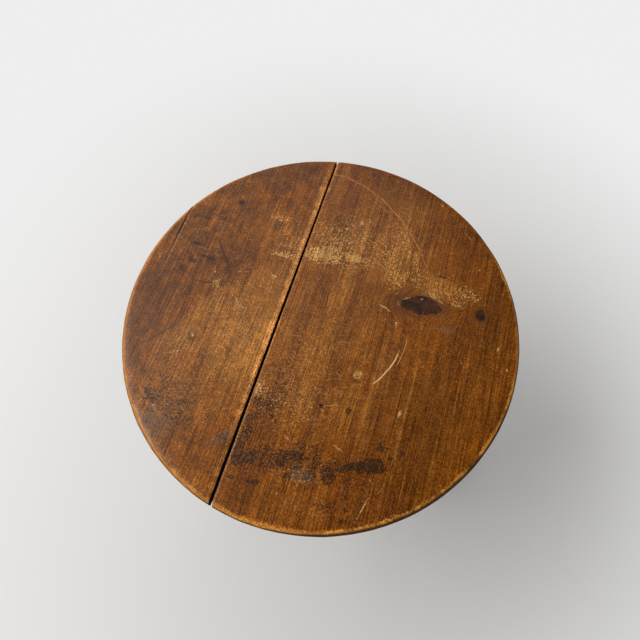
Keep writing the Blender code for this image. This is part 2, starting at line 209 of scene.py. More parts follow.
for name, (place, size, power) in LAMPS.items():
    turn = (TABLE_MIDDLE - Vector(place)).to_track_quat("-Z", "Y").to_euler()
    bpy.ops.object.light_add(type="AREA", location=place, rotation=turn)
    lamp = bpy.context.object
    lamp.name = name
    lamp.data.shape = "RECTANGLE"
    lamp.data.size, lamp.data.size_y = size
    lamp.data.energy = power
    print(name, "gives", power, "W")

# %% [markdown]
# ## The two boards
#
# The round top is two pine boards that have shrunk apart along their joint. Each starts as
# the same oval disc, because wood shrinks across the grain and hardly at all along it. An
# outline could be drawn for each board and thickened. Rounding the rim of a whole disc first
# and then cutting it at the joint is simpler, and the cut face shows the rim's true profile.

# %% Sizes of the boards
UNDER_Z = WIDE_LOW.z
MIDDLE_Z = (TOP_Z + UNDER_Z) / 2
HALF_ACROSS = (WIDE_HIGH.x - NARROW_LOW.x) / 2
JOINT_X = (WIDE_LOW.x + NARROW_HIGH.x) / 2
GAP_FAR = 0.0028
GAP_NEAR = 0.0047
RIM_POINTS = 300
RIM_UPPER_ROUND, RIM_UPPER_STEPS = 0.0095, 7
RIM_LOWER_ROUND, RIM_LOWER_STEPS = 0.0030, 3
JOINT_ROUND, JOINT_STEPS = 0.0012, 3
print("boards:", round(2 * HALF_ACROSS, 4), "by", round(2 * HALF_ALONG, 4))

# %% Edit mode helpers
SMALL = 1e-5


def edit(piece):
    """Opens one piece in edit mode, with nothing else selected."""
    if bpy.context.mode != "OBJECT":
        bpy.ops.object.mode_set(mode="OBJECT")
    bpy.ops.object.select_all(action="DESELECT")
    piece.select_set(True)
    bpy.context.view_layer.objects.active = piece
    bpy.ops.object.mode_set(mode="EDIT")
    bpy.ops.mesh.select_mode(type="EDGE")


def pick_edges(piece, wanted):
    """In edit mode, selects only the edges that a test picks out."""
    bpy.ops.mesh.select_all(action="DESELECT")
    shape = bmesh.from_edit_mesh(piece.data)
    for edge in shape.edges:
        if wanted(edge):
            edge.select_set(True)
    bmesh.update_edit_mesh(piece.data)


def done(piece):
    bpy.ops.object.mode_set(mode="OBJECT")
    return piece


print("points closer than", SMALL, "m count as one")

# %% Oval disc


def level_edge(edge, z):
    return all(abs(vertex.co.z - z) < SMALL for vertex in edge.verts)


def oval_disc(name):
    """The whole top with its rim rounded, left in edit mode."""
    bpy.ops.object.select_all(action="DESELECT")
    bpy.ops.mesh.primitive_cylinder_add(
        vertices=RIM_POINTS, radius=1, depth=TOP_Z - UNDER_Z
    )
    disc = bpy.context.object
    disc.name = name
    edit(disc)
    bpy.ops.mesh.select_all(action="SELECT")
    bpy.ops.transform.resize(
        value=(HALF_ACROSS, HALF_ALONG, 1), center_override=(0, 0, 0)
    )
    bpy.ops.transform.translate(value=(0, 0, MIDDLE_Z))
    for z, width, steps in (
        (TOP_Z, RIM_UPPER_ROUND, RIM_UPPER_STEPS),
        (UNDER_Z, RIM_LOWER_ROUND, RIM_LOWER_STEPS),
    ):
        pick_edges(disc, lambda edge, z=z: level_edge(edge, z))
        bpy.ops.mesh.bevel(offset=width, segments=steps, affect="EDGES")
    return disc


print("the rim is rounded by", RIM_UPPER_ROUND, "m above and", RIM_LOWER_ROUND, "m below")

# %% Cutting the boards
WIDE, NARROW = 1, -1  # the side of the joint that a board lies on, along X
FACING = 0.9  # a face whose normal has this share along an axis counts as facing it


def cut_at_joint(side):
    """In edit mode, keeps what lies on one side of the open joint."""
    bpy.ops.mesh.select_all(action="SELECT")
    gap = (GAP_FAR + GAP_NEAR) / 2
    taper = (GAP_FAR - GAP_NEAR) / 2 / (2 * HALF_ALONG)
    bpy.ops.mesh.bisect(
        plane_co=(JOINT_X + side * gap / 2, 0, MIDDLE_Z),
        plane_no=(-side, taper, 0),
        use_fill=True,
        clear_outer=True,
    )


def on_joint(edge, side):
    """True on the worn upper outline of a board's joint face."""
    near = all(abs(vertex.co.x - JOINT_X) < GAP_NEAR for vertex in edge.verts)
    above = all(vertex.co.z > MIDDLE_Z for vertex in edge.verts)
    faces = [face.normal.x * side for face in edge.link_faces]
    return near and above and min(faces) < -FACING and max(faces) > -FACING


def top_board(name, side):
    board = oval_disc(name)
    cut_at_joint(side)
    pick_edges(board, lambda edge: on_joint(edge, side))
    bpy.ops.mesh.bevel(offset=JOINT_ROUND, segments=JOINT_STEPS, affect="EDGES")
    return done(board)


wide_board = top_board("wide_board", WIDE)
narrow_board = top_board("narrow_board", NARROW)
print("faces:", len(wide_board.data.polygons), len(narrow_board.data.polygons))

# %% [markdown]
# ## The split
#
# A board that dries out cracks from its end, along the grain. A dark line could stand for
# the crack, but no light would fall into it. So a wedge cut out with a Boolean opens it:
# widest at the rim, with walls that wander a little as torn fibres do.

# %% The split
SPLIT_X = -0.2896
SPLIT_MOUTH = 0.0024
SPLIT_TIP = 0.0005
SPLIT_LENGTH = 0.105
SPLIT_WANDER, WANDER_SEED, WANDER_CUTS = 0.00025, 3, 14
SPLIT_MOUTH_Y = HALF_ALONG * math.sqrt(1 - (SPLIT_X / HALF_ACROSS) ** 2)
WEDGE_REACH = 1.3  # the wedge's length over the split's, so that it runs out past the rim


def split_wedge():
    bpy.ops.object.select_all(action="DESELECT")
    bpy.ops.mesh.primitive_cube_add(size=1, location=(0, 0, 0))
    wedge = bpy.context.object
    edit(wedge)
    bpy.ops.mesh.select_all(action="SELECT")
    size = (SPLIT_MOUTH, WEDGE_REACH * SPLIT_LENGTH, 2 * (TOP_Z - UNDER_Z))
    bpy.ops.transform.resize(value=size, center_override=(0, 0, 0))
    pick_edges(wedge, lambda edge: all(vertex.co.y < 0 for vertex in edge.verts))
    tip = SPLIT_TIP / SPLIT_MOUTH
    bpy.ops.transform.resize(value=(tip, 1, 1), center_override=(0, 0, 0))
    pick_edges(wedge, lambda edge: abs(edge.verts[0].co.y - edge.verts[1].co.y) > SMALL)
    bpy.ops.mesh.subdivide(number_cuts=WANDER_CUTS)
    bpy.ops.mesh.select_all(action="SELECT")
    bpy.ops.transform.vertex_random(offset=SPLIT_WANDER, seed=WANDER_SEED)
    middle_y = SPLIT_MOUTH_Y - SPLIT_LENGTH + WEDGE_REACH / 2 * SPLIT_LENGTH
    bpy.ops.transform.translate(value=(SPLIT_X, middle_y, MIDDLE_Z))
    return done(wedge)


def apply_modifiers(piece):
    bpy.context.view_layer.objects.active = piece
    for modifier in list(piece.modifiers):
        bpy.ops.object.modifier_apply(modifier=modifier.name)


wedge = split_wedge()
cut = narrow_board.modifiers.new("split", "BOOLEAN")
cut.object = wedge
cut.operation = "DIFFERENCE"
apply_modifiers(narrow_board)
bpy.data.objects.remove(wedge, do_unlink=True)
print("the split runs in", SPLIT_LENGTH, "m from y =", round(SPLIT_MOUTH_Y, 3))

# %% [markdown]
# ## Wear in the surface
#
# Long use leaves no face flat. A bump in the material would change only the light on a face,
# not its outline. So parallel cuts give the boards enough points to move, and Displace
# modifiers sink the upper face by up to a millimetre and nibble the rim. All wear goes
# inwards, and the boards keep their outer size.

# %% Slicing the boards
SLICE = 0.009
SLICE_SHIFT = 0.37  # in slices, and keeps the cuts off the points on the axes


def slice_board(board):
    """Cuts a grid of lines into a board, along and across the grain."""
    edit(board)
    across = range(int(-HALF_ACROSS / SLICE), int(HALF_ACROSS / SLICE) + 1)
    along = range(int(-HALF_ALONG / SLICE), int(HALF_ALONG / SLICE) + 1)
    for steps, axis in ((across, Vector((1, 0, 0))), (along, Vector((0, 1, 0)))):
        for step in steps:
            bpy.ops.mesh.select_all(action="SELECT")
            bpy.ops.mesh.bisect(plane_co=axis * (step + SLICE_SHIFT) * SLICE, plane_no=axis)
    return done(board)


for board in (wide_board, narrow_board):
    slice_board(board)
    print(board.name, "has", len(board.data.polygons), "faces")

# %% Wear helpers
# A texture tells how deep each point sinks, and a group of points tells where it may.


def clouds(name, size, depth):
    texture = bpy.data.textures.new(name, "CLOUDS")
    texture.noise_scale = size
    texture.noise_depth = depth
    return texture


def wear(piece, texture, weights, depth, direction, mid_level=1.0):
    """Sinks weighted points. Where the texture is as high as mid_level they stay."""
    group = piece.vertex_groups.new(name=texture.name)
    for index, weight in weights.items():
        group.add([index], weight, "REPLACE")
    change = piece.modifiers.new(texture.name, "DISPLACE")
    change.texture = texture
    change.texture_coords = "LOCAL"
    change.vertex_group = group.name
    change.direction = direction
    change.strength = depth
    change.mid_level = mid_level


def settle(piece, angle):
    """Applies the wear, and shades a piece smooth apart from edges sharper than an angle."""
    apply_modifiers(piece)
    piece.vertex_groups.clear()
    bpy.ops.object.select_all(action="DESELECT")
    piece.select_set(True)
    bpy.ops.object.shade_smooth_by_angle(angle=math.radians(angle))


# %% Wear on the boards
HOLLOW_DEPTH = 0.0008
NIBBLE_DEPTH = 0.0011
RIM_STARTS = 0.975  # as a share of the way from the middle to the rim
BOARD_SMOOTH = 40  # degrees between faces that still look like one curve


def rim_share(point):
    """0 in the middle of the top, 1 on its rim."""
    return math.hypot(point.x / HALF_ACROSS, point.y / HALF_ALONG)


hollows = clouds("hollows", 0.11, 2)
nibbles = clouds("nibbles", 0.030, 3)
for board in (wide_board, narrow_board):
    points = board.data.vertices
    upper = {p.index: 1.0 for p in points if p.co.z > TOP_Z - RIM_UPPER_ROUND / 2}
    rim = {p.index: 1.0 for p in points if rim_share(p.co) > RIM_STARTS}
    wear(board, hollows, upper, HOLLOW_DEPTH, "Z")
    wear(board, nibbles, rim, NIBBLE_DEPTH, "NORMAL")
    settle(board, BOARD_SMOOTH)
    print(board.name, "is worn at", len(upper), "points above and", len(rim), "at the rim")

for board, node_name in (
    (wide_board, "top_board_wide"),
    (narrow_board, "top_board_narrow"),
):
    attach(board, "root")
    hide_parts(node_name)

# %% [markdown]
# ## Pine grain
#
# Old pine shows broad bands of colour where the saw met heartwood and sapwood, narrower
# streaks from the yearly rings, fibres finer than a hair, pale threads where the stain never
# took, and the cloudy patina of years of wax. A Wave texture gives stripes that are too even,
# so each is a noise drawn out along the grain. They sit in one group because every piece of
# pine uses them, each turned to its own length.

# %% Noise and group helpers


def stretch(tree, vector, scale):
    """Coordinates multiplied by a scale for each axis."""
    inputs = {0: vector, 1: scale}
    return add_node(tree, "VectorMath", inputs, operation="MULTIPLY").outputs[0]


def speckle(tree, vector, scale, detail=2.0, roughness=0.5, distortion=0.0):
    """A Noise texture. Returns its value, about 0.5 on average."""
    inputs = {
        "Vector": vector,
        "Scale": scale,
        "Detail": detail,
        "Roughness": roughness,
        "Distortion": distortion,
    }
    return add_node(tree, "TexNoise", inputs).outputs[0]


def new_group(name, inputs, outputs):
    """A shader node group. Returns it with its inner input and output sockets."""
    group = bpy.data.node_groups.new(name, "ShaderNodeTree")
    for socket_name, kind, default in inputs:
        socket = group.interface.new_socket(
            socket_name, in_out="INPUT", socket_type="NodeSocket" + kind
        )
        socket.default_value = default
    for socket_name, kind in outputs:
        group.interface.new_socket(
            socket_name, in_out="OUTPUT", socket_type="NodeSocket" + kind
        )
    entry = group.nodes.new("NodeGroupInput").outputs
    result = group.nodes.new("NodeGroupOutput").inputs
    return group, entry, result


def use_group(tree, group, inputs):
    node = tree.nodes.new("ShaderNodeGroup")
    node.node_tree = group
    for key, value in inputs.items():
        plug(tree, node.inputs[key], value)
    return node.outputs


def tell(group):
    print("group", group.name, "has", len(group.nodes), "nodes")


# %% Pine grain group
GRAIN_PARTS = ("Bands", "Streaks", "Fibres", "Threads", "Mottle")
SPREAD = (0.30, 0.70)  # the noise values between which a part of the grain goes from 0 to 1
THREAD_SPREAD = (0.53, 0.70)


def pine_grain_group():
    """Grain along the Y axis of the vector it is given, in metres."""
    group, entry, result = new_group(
        "pine_grain",
        [("Vector", "Vector", (0, 0, 0))],
        [(name, "Float") for name in GRAIN_PARTS],
    )
    at = entry["Vector"]
    bands = speckle(group, stretch(group, at, (17.0, 1.4, 17.0)), 1.0, 3.0, 0.55, 0.2)
    streaks = speckle(group, stretch(group, at, (150.0, 5.0, 150.0)), 1.0, 4.0, 0.65, 0.1)
    fibres = speckle(group, stretch(group, at, (580.0, 11.0, 580.0)), 1.0, 3.0, 0.68)
    threads = speckle(group, stretch(group, at, (330.0, 9.0, 330.0)), 1.0, 3.0, 0.6)
    mottle = speckle(group, at, 62.0, 5.0, 0.6)
    for name, noise in zip(GRAIN_PARTS, (bands, streaks, fibres, threads, mottle)):
        low, high = THREAD_SPREAD if name == "Threads" else SPREAD
        plug(group, result[name], ramp(group, noise, low, high))
    return group


PINE_GRAIN = pine_grain_group()
tell(PINE_GRAIN)

# %% [markdown]
# ## Marks, rings, knots, flakes and scuffs
#
# The marks on an old top are few kinds of thing in many places. A mark is an oval with a
# soft or ragged edge, and drawn out long it becomes a scratch. A ring scratch is part of a
# circle, as left by the foot of a crock. A knot is a mark round which the grain bends. Stain
# comes off in flakes, and things set down and dragged leave scuffs. All this could be painted
# on a picture, but nodes stay sharp close up and are moved by changing a number. One group
# makes each kind, and lists below say where they lie.

# %% Mark group
PLACE = [
    ("X", "Float", 0.0),
    ("Y", "Float", 0.0),
    ("Centre X", "Float", 0.0),
    ("Centre Y", "Float", 0.0),
    ("Turn", "Float", 0.0),
]
NOISE_MIDDLE = 0.5  # the average of a noise, taken off where it should move things both ways


def turned(group, entry):
    """How far a point lies from a mark's centre, along the mark and across it."""
    east = calc(group, "SUBTRACT", entry["X"], entry["Centre X"])
    north = calc(group, "SUBTRACT", entry["Y"], entry["Centre Y"])
    cosine = calc(group, "COSINE", entry["Turn"])
    sine = calc(group, "SINE", entry["Turn"])
    along = calc(group, "MULTIPLY_ADD", east, cosine, calc(group, "MULTIPLY", north, sine))
    minus = calc(group, "MULTIPLY", sine, -1.0)
    across = calc(group, "MULTIPLY_ADD", east, minus, calc(group, "MULTIPLY", north, cosine))
    return along, across


def distance(group, along, across):
    square = calc(group, "MULTIPLY", along, along)
    return calc(group, "SQRT", calc(group, "MULTIPLY_ADD", across, across, square))


def mark_group():
    """1 inside a ragged oval, 0 outside it."""
    shape = [
        ("Half length", "Float", 0.01),
        ("Half width", "Float", 0.01),
        ("Noise", "Float", 0.5),
        ("Ragged", "Float", 1.0),
        ("Soft", "Float", 0.3),
    ]
    group, entry, result = new_group("mark", PLACE + shape, [("Mask", "Float")])
    along, across = turned(group, entry)
    along = calc(group, "DIVIDE", along, entry["Half length"])
    across = calc(group, "DIVIDE", across, entry["Half width"])
    far = distance(group, along, across)
    shaken = calc(group, "SUBTRACT", entry["Noise"], NOISE_MIDDLE)
    far = calc(group, "MULTIPLY_ADD", shaken, entry["Ragged"], far)
    outer = calc(group, "ADD", 1.0, entry["Soft"])
    inner = calc(group, "SUBTRACT", 1.0, entry["Soft"])
    plug(group, result["Mask"], ramp(group, far, inner, outer, 1.0, 0.0))
    return group


MARK = mark_group()
tell(MARK)

# %% Ring scratch group
RING_WANDER = 0.004


def ring_scratch_group():
    """1 on a worn stretch of a thin circle. The stretch is centred on the turn."""
    shape = [
        ("Radius", "Float", 0.1),
        ("Half angle", "Float", 0.5),
        ("Half width", "Float", 0.001),
        ("Noise", "Float", 0.5),
    ]
    group, entry, result = new_group("ring_scratch", PLACE + shape, [("Mask", "Float")])
    along, across = turned(group, entry)
    far = distance(group, along, across)
    shaken = calc(group, "SUBTRACT", entry["Noise"], NOISE_MIDDLE)
    off = calc(group, "MULTIPLY_ADD", shaken, RING_WANDER, far)
    off = calc(group, "ABSOLUTE", calc(group, "SUBTRACT", off, entry["Radius"]))
    off = calc(group, "DIVIDE", off, entry["Half width"])
    line = ramp(group, off, 0.2, 1.3, 1.0, 0.0)
    angle = calc(group, "ABSOLUTE", calc(group, "ARCTAN2", across, along))
    share = calc(group, "DIVIDE", angle, entry["Half angle"])
    share = calc(group, "MULTIPLY_ADD", shaken, 1.2, share)
    ends = ramp(group, share, 0.45, 1.0, 1.0, 0.0)
    plug(group, result["Mask"], calc(group, "MULTIPLY", line, ends))
    return group


RING_SCRATCH = ring_scratch_group()
tell(RING_SCRATCH)

# %% Knot group


def knot_group():
    """A knot's body, its halo, and how far it pushes the grain aside."""
    group, entry, result = new_group(
        "knot",
        [
            ("Vector", "Vector", (0, 0, 0)),
            ("Centre", "Vector", (0, 0, 0)),
            ("Turn", "Vector", (0, 0, 0)),
            ("Half size", "Vector", (0.01, 0.01, 1)),
            ("Noise", "Float", 0.5),
        ],
        [("Body", "Float"), ("Halo", "Float"), ("Push", "Vector")],
    )
    inputs = {
        "Vector": entry["Vector"],
        "Location": entry["Centre"],
        "Rotation": entry["Turn"],
        "Scale": entry["Half size"],
    }
    local = add_node(group, "Mapping", inputs, vector_type="TEXTURE").outputs[0]
    far = add_node(group, "VectorMath", {0: local}, operation="LENGTH").outputs["Value"]
    shaken = calc(group, "SUBTRACT", entry["Noise"], NOISE_MIDDLE)
    edge = calc(group, "MULTIPLY_ADD", shaken, 0.9, far)
    fade = ramp(group, far, 0.6, 2.6, 0.7, 0.0)
    backwards = calc(group, "DIVIDE", -1.0, calc(group, "MAXIMUM", far, 0.35))
    reach = calc(group, "MULTIPLY", backwards, fade)
    inputs = {0: local, "Scale": reach}
    push = add_node(group, "VectorMath", inputs, operation="SCALE").outputs[0]
    plug(group, result["Body"], ramp(group, edge, 0.86, 1.04, 1.0, 0.0))
    plug(group, result["Halo"], ramp(group, edge, 0.9, 1.9, 1.0, 0.0))
    plug(group, result["Push"], stretch(group, push, entry["Half size"]))
    return group


KNOT = knot_group()
tell(KNOT)

# %% Flaking group


def flaking_group():
    """Turns a soft amount into flakes, which close up as the amount rises."""
    inputs = [("Amount", "Float", 0.0), ("Noise", "Float", 0.5)]
    group, entry, result = new_group("flaking", inputs, [("Mask", "Float")])
    level = calc(group, "MULTIPLY_ADD", entry["Amount"], 0.60, entry["Noise"])
    plug(group, result["Mask"], ramp(group, level, 0.76, 1.08))
    return group


FLAKING = flaking_group()
tell(FLAKING)

# %% Scuff group
SCUFF_TURNS = (25, -50, 80)


def scuff_group():
    """Short fine scratches in three directions, as left by things set down and dragged."""
    inputs = [("Vector", "Vector", (0, 0, 0))]
    group, entry, result = new_group("scuffs", inputs, [("Mask", "Float")])
    total = None
    for turn in SCUFF_TURNS:
        inputs = {
            "Vector": entry["Vector"],
            "Location": (turn, 0, 0),
            "Rotation": (0, 0, math.radians(turn)),
        }
        local = add_node(group, "Mapping", inputs).outputs[0]
        noise = speckle(group, stretch(group, local, (520.0, 48.0, 520.0)), 1.0, 2.0, 0.5)
        stroke = ramp(group, noise, 0.61, 0.72)
        total = stroke if total is None else calc(group, "MAXIMUM", total, stroke)
    plug(group, result["Mask"], total)
    return group


SCUFFS = scuff_group()
tell(SCUFFS)

# %% [markdown]
# ## Where the marks lie
#
# Marks scattered at random would give an old top, but not this one, so each is listed one by
# one.
# Places and half sizes are in millimetres: first across the grain, then along it. They were
# measured on the photograph before the top's size was settled, so they are brought to scale
# where they are laid. A turn is in degrees. Every list is one kind of mark, with one colour.

# %% Kinds of marks
LINE_RAGGED, LINE_SOFT = 1.2, 0.45
Mark = namedtuple("Mark", "x y half_x half_y turn strength ragged soft")
Ring = namedtuple("Ring", "x y radius turn half_angle half_width strength")


def mark(x, y, half_x, half_y, turn=0, strength=1.0, ragged=1.6, soft=0.5):
    return Mark(x, y, half_x, half_y, turn, strength, ragged, soft)


def line(x, y, half_x, half_y, turn=0, strength=1.0):
    """A scratch or a nick, whose edge is sharp."""
    return Mark(x, y, half_x, half_y, turn, strength, LINE_RAGGED, LINE_SOFT)


BIG_KNOT = mark(155, 71, 37, 17, 9)
SMALL_KNOT = mark(254, 83, 8, 11)
print("the big knot is", 2 * BIG_KNOT.half_x, "mm across the grain")

# %% Thin stain
# Broad parts of the top where the stain has thinned.
THIN_STAIN = [
    mark(-118, -45, 50, 105, -12, 0.66),
    mark(-123, -95, 170, 95, 53, 0.24, 0.5, 0.12),
    mark(-211, -92, 44, 19, 50, 0.50, 0.6, 0.4),
    mark(-171, -26, 66, 20, 57, 0.55, 0.6, 0.4),
    mark(-97, -75, 34, 75, 0, 0.85),
    mark(5, -15, 70, 120, 0, 0.38),
    mark(-88, 22, 22, 60, 0, 0.55),
    mark(-35, 60, 30, 70, 0, 0.4),
    mark(28, 70, 11, 60, 0, 0.65),
    mark(30, 175, 5, 48, 0, 0.9),
    mark(70, 150, 60, 60, 0, 0.4),
    mark(172, 108, 26, 26, 0, 0.55),
    mark(-105, 130, 42, 55, 0, 0.25),
    mark(60, -120, 90, 45, 0, 0.22),
    mark(60, 235, 60, 50, 0, 0.35),
    mark(-20, 250, 40, 60, 0, 0.2),
    mark(75, 20, 14, 60, 0, 0.35),
    mark(20, 160, 70, 50, 0, 0.35, 1.6, 0.9),
    mark(120, -100, 14, 110, 0, 0.5),
    mark(66, 215, 3, 40, 0, 0.7),
    mark(100, 235, 2.5, 22, -8, 0.7),
    mark(150, 150, 3, 40, 0, 0.6),
    mark(172, -120, 2.6, 90, 0, 0.7),
    mark(-165, -290, 60, 20, -35, 0.3),
    mark(66, -294, 36, 14, 6, 0.15),
]
print(len(THIN_STAIN), "parts with thin stain")

# %% Thick stain
# Broad parts where the stain has stayed thick and red.
THICK_STAIN = [
    mark(-275, -30, 46, 125, -8, 1.0),
    mark(-278, 100, 42, 62, 10, 1.0),
    mark(-215, 150, 60, 45, 0, 0.45),
    mark(282, -45, 30, 90, 0, 0.5),
    mark(5, -296, 46, 20, 8, 0.4),
    mark(-190, 62, 50, 55, 0, 0.7),
    mark(-178, -228, 46, 42, 20, 0.7),
    mark(-222, -28, 66, 24, 57, 0.6, 0.8, 0.5),
    mark(-170, 255, 90, 45, 35, 0.8),
    mark(85, 285, 70, 30, -15, 0.9),
    mark(150, 205, 60, 60, -30, 0.6),
    mark(270, 90, 40, 70, 0, 0.6),
    mark(85, 60, 30, 40, 0, 0.5),
    mark(205, -120, 70, 110, -15, 0.6),
    mark(45, 15, 9, 50, 0, 0.5),
]
print(len(THICK_STAIN), "parts with thick stain")

# %% Bare patches
# Patches where the stain has flaked away to bare wood.
BARE_PATCHES = [
    mark(-34, 117, 34, 12, 8, 1.15, 3.0, 0.8),
    mark(-22, 128, 18, 11, 20, 0.95, 3.0, 0.7),
    mark(26, 125, 23, 10, -3, 1.1, 3.0, 0.7),
    mark(-10, 150, 60, 45, 0, 0.56, 2.4, 1.3),
    mark(28, 172, 8, 44, 0, 0.50, 2.2, 0.8),
    mark(82, 160, 36, 46, 8, 0.46, 2.2, 1.2),
    mark(92, 118, 42, 16, -45, 0.58, 2.4, 0.9),
    mark(110, 110, 16, 26, 0, 0.56, 2.4, 0.9),
    mark(104, 180, 10, 42, 18, 0.54, 2.2, 0.8),
    mark(128, 150, 8, 42, 22, 0.50, 2.2, 0.8),
    mark(170, 95, 15, 6, -10, 0.75),
    mark(172, 112, 24, 22, 0, 0.42, 2.2, 0.9),
    mark(227, 114, 24, 17, 0, 0.53, 2.2),
    mark(213, 90, 13, 9, 0, 0.62, 2.2),
    mark(200, 104, 26, 18, -20, 0.45, 2.2, 0.8),
    mark(140, 120, 16, 20, 0, 0.46, 2.2, 0.8),
    mark(-98, 130, 34, 46, 0, 0.22, 2.2, 0.8),
    mark(-84, 112, 16, 26, 0, 0.48, 2.2),
    mark(-95, 96, 26, 5, 4, 0.66, 2.2),
    mark(-125, 167, 24, 6, 6, 0.54, 2.2),
    mark(-189, 9, 9, 12, 0, 0.55, 2.2),
    mark(-55, -143, 9, 13, 0, 0.75, 2.2),
    mark(-10, -150, 70, 46, 0, 0.30, 2.2, 0.9),
    mark(-122, -75, 48, 95, 0, 0.25, 2.2, 0.9),
    mark(-5, -70, 50, 80, 0, 0.20, 2.2, 0.9),
    mark(-205, -115, 32, 16, 42, 0.40, 2.2, 0.8),
    mark(45, -250, 20, 11, 0, 0.42, 2.2),
    mark(86, -77, 7, 7, 0, 0.9, 0.6, 0.4),
]
print(len(BARE_PATCHES), "bare patches")

# %% Spills
# Spills that have turned black.
SPILLS = [
    mark(35, -232, 100, 24, 6, 0.72, 2.2, 0.8),
    mark(142, -207, 25, 14, 26, 1.05, 1.6, 0.3),
    mark(166, -187, 7, 2.8, 42, 1.0, 0.8, 0.4),
    mark(110, -217, 22, 5.4, 32, 1.1, 1.4, 0.4),
    mark(83, -234, 15, 16, 0, 1.05, 2.0),
    mark(34, -224, 22, 9, 6, 1.05, 2.0),
    mark(8, -236, 16, 13, 10, 1.0, 2.0),
    mark(60, -234, 14, 12, 0, 0.85, 2.0),
    mark(26, -255, 7, 9, 0, 0.9, 2.0),
    mark(57, -247, 10, 8, 0, 0.8, 2.0),
    mark(33, -207, 12, 8, 0, 0.9, 2.0),
    mark(56, -206, 9, 7, 0, 0.8, 2.0),
    mark(-51, -248, 12, 18, 0, 1.05, 2.0),
    mark(-34, -247, 11, 9, 0, 0.9, 2.0),
    mark(-53, -210, 12, 34, 0, 0.88, 2.2),
    mark(-36, -171, 19, 24, 20, 0.80, 2.2, 0.7),
    mark(-22, -226, 4, 4, 0, 0.95),
    mark(-12, -226, 6, 5, 0, 1.1, 0.8),
    mark(150, -174, 11, 8, 10, 0.95, 1.6, 0.6),
    mark(183, -173, 4, 5, 0, 0.85),
    mark(-72, -155, 4, 18, 0, 1.05),
    mark(-86, -233, 22, 5, 48, 0.78),
    mark(-118, -208, 6, 9, 10, 0.75),
    mark(87, -136, 5, 6, 0, 0.95),
    mark(46, -141, 5, 4, 0, 0.8),
    mark(-50, -281, 6, 4, 0, 1.0),
    mark(-15, -277, 12, 4, 10, 0.85),
    mark(90, -280, 15, 6, 15, 0.66, 2.0, 0.7),
    mark(124, -274, 4, 5, 0, 0.9),
    mark(121, -292, 7, 5, 10, 0.8),
    mark(-192, -202, 52, 52, 0, 0.58, 2.2, 0.9),
]
print(len(SPILLS), "spills")

# %% Smudges and scuffs
# Rubbed dirt, paler than the stain.
SMUDGES = [
    mark(206, 40, 13, 5, 9, 0.75, 1.0, 0.5),
    mark(48, -249, 17, 9, 0, 0.50),
    mark(-195, -243, 26, 22, 0, 0.65, 1.6, 0.7),
    mark(-86, -233, 22, 5, 48, 0.6),
    mark(256, 68, 9, 3, 0, 0.4),
    mark(117, 62, 7, 3, -50, 0.5),
]
# Parts crossed by short fine scratches.
SCUFFED = [
    mark(15, -90, 85, 95, 0, 0.65, 1.6, 0.9),
    mark(60, -255, 110, 40, 0, 0.28, 1.6, 0.9),
    mark(60, 200, 80, 70, 0, 0.50, 1.6, 0.9),
    mark(150, 0, 130, 130, 0, 0.25, 1.6, 0.9),
    mark(-130, -40, 80, 120, -15, 0.55, 1.6, 0.9),
    mark(-215, 90, 70, 90, 0, 0.35, 1.6, 0.9),
    mark(-190, -190, 70, 60, 0, 0.45, 1.6, 0.9),
]
print(len(SMUDGES), "smudges and", len(SCUFFED), "scuffed parts")

# %% Ink, burns and cuts
# Small dark marks, and old cuts that have filled with wax.
INK_MARKS = [
    mark(-207, 178, 6, 6, 0, 1.0, 0.8, 0.4),
    mark(-225, 193, 6, 6, 0, 0.55),
    mark(-249, 73, 9, 3, 8, 0.95, 2.4, 0.8),
    mark(-228, 53, 12, 2.2, -4, 0.85, 2.0, 0.8),
    mark(-216, 51, 8, 4, -8, 0.95, 2.4, 0.8),
    line(-204, 75, 22, 1.3, -52, 0.9),
    mark(-190, 58, 7, 5, -40, 0.85, 2.4, 0.8),
    line(-184, 50, 10, 1.3, -50, 0.6),
    mark(-246, 38, 8, 5, -20, 0.8),
    mark(-257, 18, 6, 4, -30, 0.75),
    line(-211, 5, 17, 1.4, 9, 0.85),
    mark(-181, 12, 7, 5, 0, 0.5),
    mark(-253, 128, 12, 4, -3, 0.55),
    mark(-275, 128, 7, 4, 20, 0.5),
    mark(-225, 135, 6, 4, 0, 0.45),
    mark(-123, 150, 10, 9, 0, 0.45),
    mark(-190, -94, 7, 8, 0, 0.45),
    line(-242, -104, 32, 1.6, 50, 0.55),
    line(179, 134.5, 10, 1.4, -2, 0.9),
    line(115, -239, 0.9, 13, -2, 0.8),
    line(-290, 22, 0.7, 28, 0, 0.8),
    line(-292.4, 88, 1.0, 46, 0, 0.9),
    mark(86, -87, 8, 2, 0, 0.5),
    mark(78, -79, 2, 8, 10, 0.4),
]
print(len(INK_MARKS), "dark marks")

